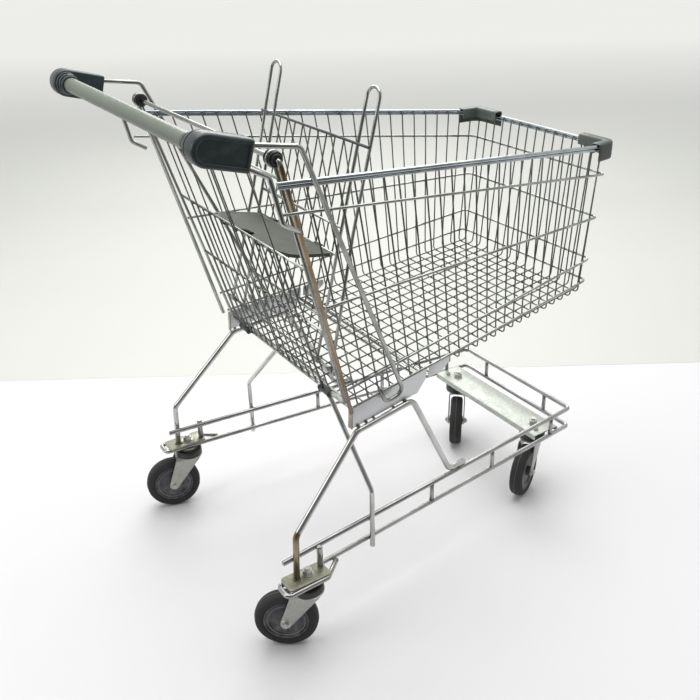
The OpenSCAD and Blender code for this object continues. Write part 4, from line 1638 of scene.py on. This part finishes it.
@dataclass
class ChildSeat:
    """Moulded seat panel and the tall wire backrest it hangs on."""

    pivot: Point = (-213.0, 0.0, 523.0)
    lean: float = 0.262
    seat_z: float = 716.0
    length: float = 108.0
    half: float = 145.0
    tilt: float = 12.0
    thickness: float = 6.0
    loop_half: float = 165.0
    loop_r: float = 18.0
    loop_top: float = 999.0
    wire: float = 6.0
    bar_z: float = 908.0

    def lean_x(self, z: float) -> float:
        """Place of the backrest's plane at a height.

        Args:
            z: Height.

        Returns:
            Distance to the nose.
        """
        return self.pivot[0] + (z - self.pivot[2]) * self.lean

    def build(self) -> None:
        """Builds the panel and the backrest."""
        self.panel()
        self.loops()
        self.backrest_wires()

    def panel(self) -> None:
        """Seat panel with a raised rim, knuckles on its hinge wire and black hooks at the rear."""
        place = Matrix.Translation((self.lean_x(self.seat_z), 0, self.seat_z)) @ Matrix.Rotation(
            math.radians(self.tilt), 4, "Y")
        half, length = self.half, self.length
        one = [(0, 26, 5), (0, 108, 16), (14, 138, 14), (30, half, 30), (length - 4, half - 6, 9)]
        corners = one + [(x, -y, r) for x, y, r in reversed(one)] + [(16, -12, 6), (16, 12, 6)]
        outline = [(x - length, y) for x, y in rounded(corners, 6)]
        bm = bmesh.new()
        slab(bm, outline, 2 - self.thickness, 2)
        bm.faces.ensure_lookup_table()
        bmesh.ops.recalc_face_normals(bm, faces=bm.faces)
        faces = [f for f in bm.faces if abs(f.normal.z) > 0.9]
        for face in faces:
            bmesh.ops.inset_region(bm, faces=[face], thickness=5.0, use_even_offset=True)
            bmesh.ops.inset_region(bm, faces=[face], thickness=1.2, depth=-0.8, use_even_offset=True)
        soften(bm, 1.1, 3, 50)
        for y in (-84, 0, 84):
            profile = [(2.56, -11), (4.4, -11), (5, -10.2), (5, 10.2), (4.4, 11), (2.56, 11)]
            lathe(bm, profile, 28, sideways(0, y, 0))
            slab(bm, [(-11, y - 11), (-2.6, y - 11), (-2.6, y + 11), (-11, y + 11)], -3.4, 1.4)
        bmesh.ops.transform(bm, matrix=place, verts=bm.verts)
        fit(finish_mesh("seat_moulded_panel", bm, Finish.SEAT), "seat", Slot.SEAT, "seat_panel")
        bm = bmesh.new()
        for y in (-92, -44, 44, 92):
            outline = rounded([(-length + 1.5, -9, 1.5), (-length + 1.5, -3, 1), (-length + 9, -3, 1),
                               (-length + 7, -9, 1.5)], 3)
            turn = Matrix.Translation((0, y - 6, 0)) @ Matrix.Rotation(math.radians(90), 4,
                                                                       "X") @ Matrix.Scale(
                -1, 4, (0, 0, 1))
            slab(bm, outline, 0, 12, turn)
        soften(bm, 0.7)
        fit(finish_mesh("seat_hooks", bm, Finish.BLACK, place), "seat", Slot.BLACK)

    def loops(self) -> None:
        """Tall loops with rounded tops and sleeves on the pivot rod."""
        px, _, pz = self.pivot
        low = 4.5
        foot = (px + low * self.lean, pz + low)
        outer, inner = self.loop_half + self.loop_r, self.loop_half - self.loop_r
        bm = bmesh.new()
        for label, s in SIDES:
            line = [(foot[0], s * (outer + 14), foot[1]), (self.lean_x(760), s * outer, 760),
                    (self.lean_x(self.loop_top), s * outer, self.loop_top),
                    (self.lean_x(self.loop_top), s * inner, self.loop_top),
                    (foot[0], s * inner, foot[1])]
            fit(draw_wires(f"backrest_loop_{label}", [Wire(line, self.loop_r - 1)], self.wire,
                           Finish.WIRE, 14, 12),
                "backrest", Slot.CHROME, "backrest_loops")
            for y in (outer + 14, inner):
                profile = [(3.05, -7), (4.9, -7), (5.5, -6.3), (5.5, 6.3), (4.9, 7), (3.05, 7)]
                lathe(bm, profile, 28, sideways(px, s * y, pz))
        fit(finish_mesh("backrest_sleeves", bm, Finish.WIRE), "backrest", Slot.CHROME)

    def backrest_wires(self) -> None:
        """Dark crossbar, cross wires and thin uprights."""
        half = self.loop_half + self.loop_r + 4
        x = self.lean_x(self.bar_z) - 5.5
        bar = [Wire([(x, -half, self.bar_z), (x, half, self.bar_z)])]
        fit(draw_wires("backrest_bar", bar, 5, Finish.DARK_BAR, 14, 3), "backrest", Slot.DARK_BAR,
            "backrest_crossbar")
        inner = self.loop_half - self.loop_r - 2
        cross = [Wire([(self.lean_x(z), -inner, z), (self.lean_x(z), inner, z)]) for z in (self.seat_z,
                764, 600)]
        fit(draw_wires("backrest_cross_rods", cross, 5, Finish.WIRE, 12, 3), "backrest", Slot.CHROME,
            "backrest_cross_wires")
        top, low, ahead = self.bar_z - 2, self.pivot[2] + 14, 4.0
        thin, beads = [], []
        for i in range(10):
            y = (i - 4.5) * 28
            thin.append(Wire([(self.lean_x(top) + ahead, y, top), (self.lean_x(low) + ahead, y, low)]))
            beads += [((self.lean_x(z) + 2, y, z), (1, 0, 0)) for z in (self.seat_z, 764, 600)]
        beads += [((self.lean_x(z), s * inner, z), (0, 1, 0)) for z in (self.seat_z, 764,
                                                                        600) for s in (-1, 1)]
        beads += [((x + 2, s * y, self.bar_z), (1, 0, 0)) for s in (-1, 1) for y in (147, 183)]
        fit(draw_wires("backrest_grille", thin, 3, Finish.FINE_WIRE, 8, 3), "backrest", Slot.CHROME,
            "backrest_wires")
        fit(weld("backrest_welds", beads, 2.2, 0.8), "backrest", Slot.CHROME)


@dataclass
class Caster:
    """Pressed fork, axle bolt, hub and tyre of one caster."""

    label: str
    x: float
    y: float
    steer: float
    trail: float = 45.0
    wheel_r: float = 62.5
    gap: float = 37.0
    gauge: float = 2.5
    fork_top: float = 134.0
    head: float = 31.0
    axle: float = 8.0

    def place(self) -> Matrix:
        """Frame of the swivel."""
        return upright(self.x, self.y, -LIFT, self.steer)

    def build(self) -> None:
        """Builds the four pieces."""
        self.fork()
        self.bolt()
        self.wheel()

    def span(self, z: float) -> Flat:
        """Rear and front edge of a cheek at a height.

        Args:
            z: Height.

        Returns:
            Rear and front distance from the swivel axis.
        """
        centre, r, axle_z = -self.trail, 11.0, self.wheel_r
        top = self.fork_top - 3
        back = -33 + (top - z) / (top - axle_z - 5) * (33 - self.trail - 10)
        front = 24 - (top - z) / (top - axle_z + 8.4) * (24 + self.trail - 7)
        reach = math.sqrt(max(r * r - (axle_z - z) ** 2, 0.0))
        if z < axle_z + 5:
            back = centre - reach
        if z < axle_z - 8.4:
            front = centre + reach
        return back, front

    def fork(self) -> None:
        """One pressed plate: two teardrop cheeks joined by a saddle, under a round head."""
        path: list[tuple[float, float, Flat]] = []
        side = (self.gap + self.gauge) / 2
        top = self.fork_top - self.gauge / 2
        bend = 7.0
        drop = [self.wheel_r - 11 * math.cos(a) for a in (math.pi / 2 * i / 7 for i in range(8))]
        heights = [*drop[:-1], self.wheel_r - 3, self.wheel_r + 5, self.wheel_r + 20,
                   self.wheel_r + 45, top - bend]
        heights = sorted(set(round(h, 4) for h in heights))
        for z in heights:
            path.append((side, z, (1.0, 0.0)))
        for i in range(1, 6):
            a = math.pi / 2 * i / 6
            path.append((side - bend + bend * math.cos(a), top - bend + bend * math.sin(a),
                         (math.cos(a), math.sin(a))))
        path.append((side - bend, top, (0.0, 1.0)))
        path += [(-y, z, (-ny, nz)) for y, z, (ny, nz) in reversed(path)]
        rings = []
        for y, z, (ny, nz) in path:
            back, front = self.span(min(z, self.fork_top - 3))
            if front - back < 1:
                back, front = back - 0.5, front + 0.5
            h = self.gauge / 2
            rings.append([(back, y - ny * h, z - nz * h), (front, y - ny * h, z - nz * h),
                          (front, y + ny * h, z + nz * h), (back, y + ny * h, z + nz * h)])
        bm = bmesh.new()
        bridge(bm, rings)
        soften(bm, 0.5, 2, 60)
        r, top = self.head, self.fork_top
        lathe(bm, [(6.2, top - 3), (r - 1.4, top - 3), (r, top - 2.2), (r, top - 0.9),
                   (r - 1.2, top - 0.1),
                   (6.2, top - 0.1)], 48)
        for s in (-1, 1):
            lathe(bm, [(4.2, 0), (9.2, 0), (8.6, s * 1.0), (4.2, s * 1.0)], 32,
                  sideways(-self.trail, s * (self.gap / 2 + self.gauge), self.wheel_r))
        piece = finish_mesh(f"pressed_fork_{self.label}", bm, Finish.PRESSED, self.place())
        fit(piece, f"swivel_{self.label}", Slot.FORK, f"fork_{self.label}")

    def bolt(self) -> None:
        """Axle bolt with its head, nut and washers."""
        half = self.gap / 2 + self.gauge
        place = self.place()
        ends = [tuple(place @ Vector((-self.trail, s * (half + 3), self.wheel_r))) for s in (-1, 1)]
        shaft = draw_wires(f"axle_bolt_{self.label}", [Wire(ends)], self.axle, Finish.PRESSED, 16, 3)
        fit(shaft, f"swivel_{self.label}", Slot.FORK, f"axle_{self.label}")
        out = place.to_3x3() @ Vector((0, 1, 0))
        spots = [(tuple(place @ Vector((-self.trail, s * (half + 1), self.wheel_r))), tuple(out * s))
                 for s in (-1, 1)]
        sizes = {"Across Corners": 0.0135, "Nut Height": 0.0036, "Thread Diameter": 0.0078,
                 "Thread Height": 0.0014,
                 "Washer Diameter": 0.0152, "Washer Height": 0.0009}
        nuts = scatter(f"axle_nuts_{self.label}", spots, "nut", sizes, Finish.PRESSED)
        fit(nuts, f"swivel_{self.label}", Slot.FORK)

    def wheel(self) -> None:
        """Hub with stepped rings on both faces, and the tyre with a painted highlight line round its crown.
        """
        r = self.wheel_r - 18
        place = self.place() @ sideways(-self.trail, 0, self.wheel_r)
        face = [(self.axle / 2 + 0.05, 17.5), (10, 17.5), (11, 16.8), (11.6, 11), (14, 10.2),
                (r - 12, 9.4),
                (r - 10.5, 9.9), (r - 9.6, 12.1), (r - 6.6, 12.1), (r - 6, 11), (r - 4.6, 11),
                (r - 4, 12.8),
                (r - 0.6, 13.2), (r, 12.6)]
        bm = bmesh.new()
        lathe(bm, face + [(a, -b) for a, b in reversed(face)], 72, place)
        hub = finish_mesh(f"wheel_hub_{self.label}", bm, Finish.HUB, sharp=30)
        repaint(hub, Finish.HUB_RING, lambda p: r - 9.7 < math.hypot(p.x, p.y) < r - 6.5, place)
        fit(hub, f"wheel_{self.label}", Slot.HUB, f"hub_{self.label}")
        crown = self.wheel_r
        side = [(r, 12), (r + 1.4, 13.4), (r + 3, 14.4), (r + 6, 15), (crown - 8, 15),
                (crown - 4.6, 13.9),
                (crown - 2.4, 11.6), (crown - 1.2, 8.4), (crown - 0.6, 4.5), (crown - 0.4, 1.1),
                (crown, 0.7)]
        bm = bmesh.new()
        lathe(bm, side + [(a, -b) for a, b in reversed(side)], 84, place)
        tyre = finish_mesh(f"wheel_tyre_{self.label}", bm, Finish.RUBBER, sharp=45)
        # painted highlight: faces at the very crown of the tyre get the pale highlight colour
        repaint(tyre, Finish.TREAD_HIGHLIGHT, lambda p: math.hypot(p.x, p.y) > crown - 0.2, place)
        fit(tyre, f"wheel_{self.label}", Slot.TYRE, f"tyre_{self.label}")


@dataclass
class Studio:
    """Pale floor, soft lights and the camera."""

    eye: Point = (-911.5, -1352.7, 1275.8)
    azimuth: float = 32.616
    elevation: float = 27.844
    lens: float = 44.13
    roll: float = -1.387

    def build(self) -> None:
        """Builds the floor, the lights, the surroundings and the camera."""
        self.floor()
        self.lights()
        self.surroundings()
        self.camera()
        bpy.context.scene.view_settings.view_transform = "Standard"

    def ground(self, name: str, corners: Sequence[Point], colour: Colour, stain: Colour,
               glow: float) -> None:
        """One flat area of floor, with painted shade that darkens it to near black on the camera's side of
        the room, for the bright wires to reflect.

        Args:
            name: The piece's name.
            corners: Four corners.
            colour: Colour of the surface.
            stain: Colour of its patches.
            glow: Strength of the light it adds far from the trolley.
        """
        mesh = bpy.data.meshes.new(name)
        mesh.from_pydata([row_place() @ Vector(p) for p in corners], [], [(0, 1, 2, 3)])
        box = Paintbox(name)
        cloud = box.effect("patches", Scale=1.1, Cover=0.5, Softness=0.3)
        a = math.radians(self.azimuth)
        place = box.sheet.add("ShaderNodeTexCoord")
        depth = box.sheet.add("ShaderNodeVectorMath", {"operation": "DOT_PRODUCT"},
                              s0=place.outputs["Object"],
                              s1=(-math.sin(a), -math.cos(a), 0.0))
        # painted shade: from 0.85 m to 1.7 m towards the camera, out of its view, the floor is mixed to
        # near black so the wires mirror a dark band
        near = box.sheet.add("ShaderNodeMapRange", Value=depth.outputs["Value"], From_Min=0.85,
                             From_Max=1.7)
        ground = box.mix(near.outputs["Result"], box.mix(cloud, colour, stain), (0.1, 0.1, 0.095))
        box.set(Base_Color=ground, Roughness=0.5, Specular_IOR_Level=0.25)
        far = box.sheet.add("ShaderNodeMapRange", Value=depth.outputs["Value"], From_Min=-2.3,
                            From_Max=-7.0,
                            To_Max=glow)
        box.set(Emission_Color=(1.0, 1.0, 0.985), Emission_Strength=far.outputs["Result"])
        mesh.materials.append(box.material)
        obj = bpy.data.objects.new(name, mesh)
        bpy.context.scene.collection.objects.link(obj)

    def floor(self) -> None:
        """Pale floor, and a second tone of it beyond a line behind the trolley."""
        big = 14000.0
        low = -LIFT
        self.ground("studio_floor", [(-big, -big, low), (big, -big, low), (big, big, low),
                                     (-big, big, low)],
                    (0.80, 0.785, 0.805), (0.77, 0.757, 0.777), 0.0)
        a = math.radians(self.azimuth)
        away, right = Vector((math.sin(a), math.cos(a), 0)), Vector((math.cos(a), -math.sin(a), 0))
        start = Vector((self.eye[0], self.eye[1], low + 0.4)) + away * 2290
        line = [start - right * big, start + right * big, start + right * big + away * big,
                start - right * big + away * big]
        self.ground("floor_beyond", [tuple(p) for p in line], (0.68, 0.685, 0.65),
                    (0.65, 0.657, 0.625), 0.4)

    def area(self, name: str, place: Point, aim: Point, size: Flat, power: float,
             colour: Colour) -> None:
        """One soft light.

        Args:
            name: The light's name.
            place: Where it hangs.
            aim: Point it faces.
            size: Width and length in metres.
            power: Power in watts.
            colour: Its colour.
        """
        data = bpy.data.lights.new(name, "AREA")
        data.shape = "RECTANGLE"
        data.size, data.size_y = size
        data.energy = power
        data.color = colour
        light = bpy.data.objects.new(name, data)
        light.location = place
        light.rotation_euler = (Vector(aim) - Vector(place)).to_track_quat("-Z", "Y").to_euler()
        bpy.context.scene.collection.objects.link(light)

    def lights(self) -> None:
        """Overhead softbox, a long strip on the far side and a weak fill."""
        self.area("overhead", (0.2, 0.3, 3.0), (0, 0, 0.3), (3.2, 2.4), 60, (1.0, 0.995, 0.99))
        self.area("far_strip", (1.6, 2.6, 2.2), (0, 0, 0.6), (2.4, 1.2), 42, (1.0, 0.995, 0.98))
        self.area("left_fill", (-2.8, 0.6, 1.9), (0, 0, 0.5), (1.4, 1.6), 18, (0.98, 0.99, 1.0))

    def surroundings(self) -> None:
        """Pale room with a darker band low on the camera's side, which the bright wires mirror."""
        world = bpy.data.worlds.new("room")
        bpy.context.scene.world = world
        world.use_nodes = True
        sheet = Sheet(world.node_tree)
        back = world.node_tree.nodes["Background"]
        place = sheet.add("ShaderNodeTexCoord")
        a = math.radians(self.azimuth)
        behind = sheet.add("ShaderNodeVectorMath", {"operation": "DOT_PRODUCT"},
                           s0=place.outputs["Generated"],
                           s1=(-math.sin(a), -math.cos(a), 0.1))
        ramp = sheet.add("ShaderNodeValToRGB", Fac=behind.outputs["Value"])
        stops = ramp.color_ramp.elements
        stops[0].position, stops[0].color = 0.0, (0.92, 0.93, 0.91, 1)
        stops[1].position, stops[1].color = 0.62, (0.28, 0.285, 0.28, 1)
        middle = stops.new(0.25)
        middle.color = (0.62, 0.63, 0.61, 1)
        sheet.feed(back.inputs["Color"], ramp.outputs["Color"])
        back.inputs["Strength"].default_value = 0.86

    def camera(self) -> None:
        """Camera at the trolley's rear right, looking down at it."""
        az, el = math.radians(self.azimuth), math.radians(self.elevation)
        ahead = Vector((math.cos(el) * math.sin(az), math.cos(el) * math.cos(az), -math.sin(el)))
        level = Vector((math.cos(az), -math.sin(az), 0))
        up = level.cross(ahead)
        turn = math.asin(math.sin(math.radians(self.roll)) / math.cos(el))
        right = level * math.cos(turn) + up * math.sin(turn)
        up = right.cross(ahead)
        data = bpy.data.cameras.new("camera")
        data.lens, data.sensor_width, data.sensor_fit = self.lens, 36.0, "HORIZONTAL"
        data.clip_start, data.clip_end = 0.05, 60.0
        cam = bpy.data.objects.new("camera", data)
        cam.matrix_world = Matrix.Translation(row_place() @ Vector(self.eye)) @ Matrix(
            (right, up, -ahead)).transposed().to_4x4()
        bpy.context.scene.collection.objects.link(cam)
        bpy.context.scene.camera = cam


def main() -> None:
    """Builds the trolley and the studio."""
    logging.basicConfig(level=logging.INFO, format="%(name)s: %(message)s")
    Studio().build()
    chassis = Chassis()
    for part in (Handle(), RearHinge(), Basket(), chassis, RearFlap(), ChildSeat()):
        LOG.info("building %s", type(part).__name__)
        part.build()
    places = {"rear_right": (chassis.plate, -1, -34.0), "rear_left": (chassis.plate, 1, -16.0),
              "front_right": (chassis.front, -1, 27.0), "front_left": (chassis.front, 1, 48.0)}
    for label, ((x, y, _), side, steer) in places.items():
        Caster(label, x, side * y, steer).build()


if __name__ == "__main__":
    main()
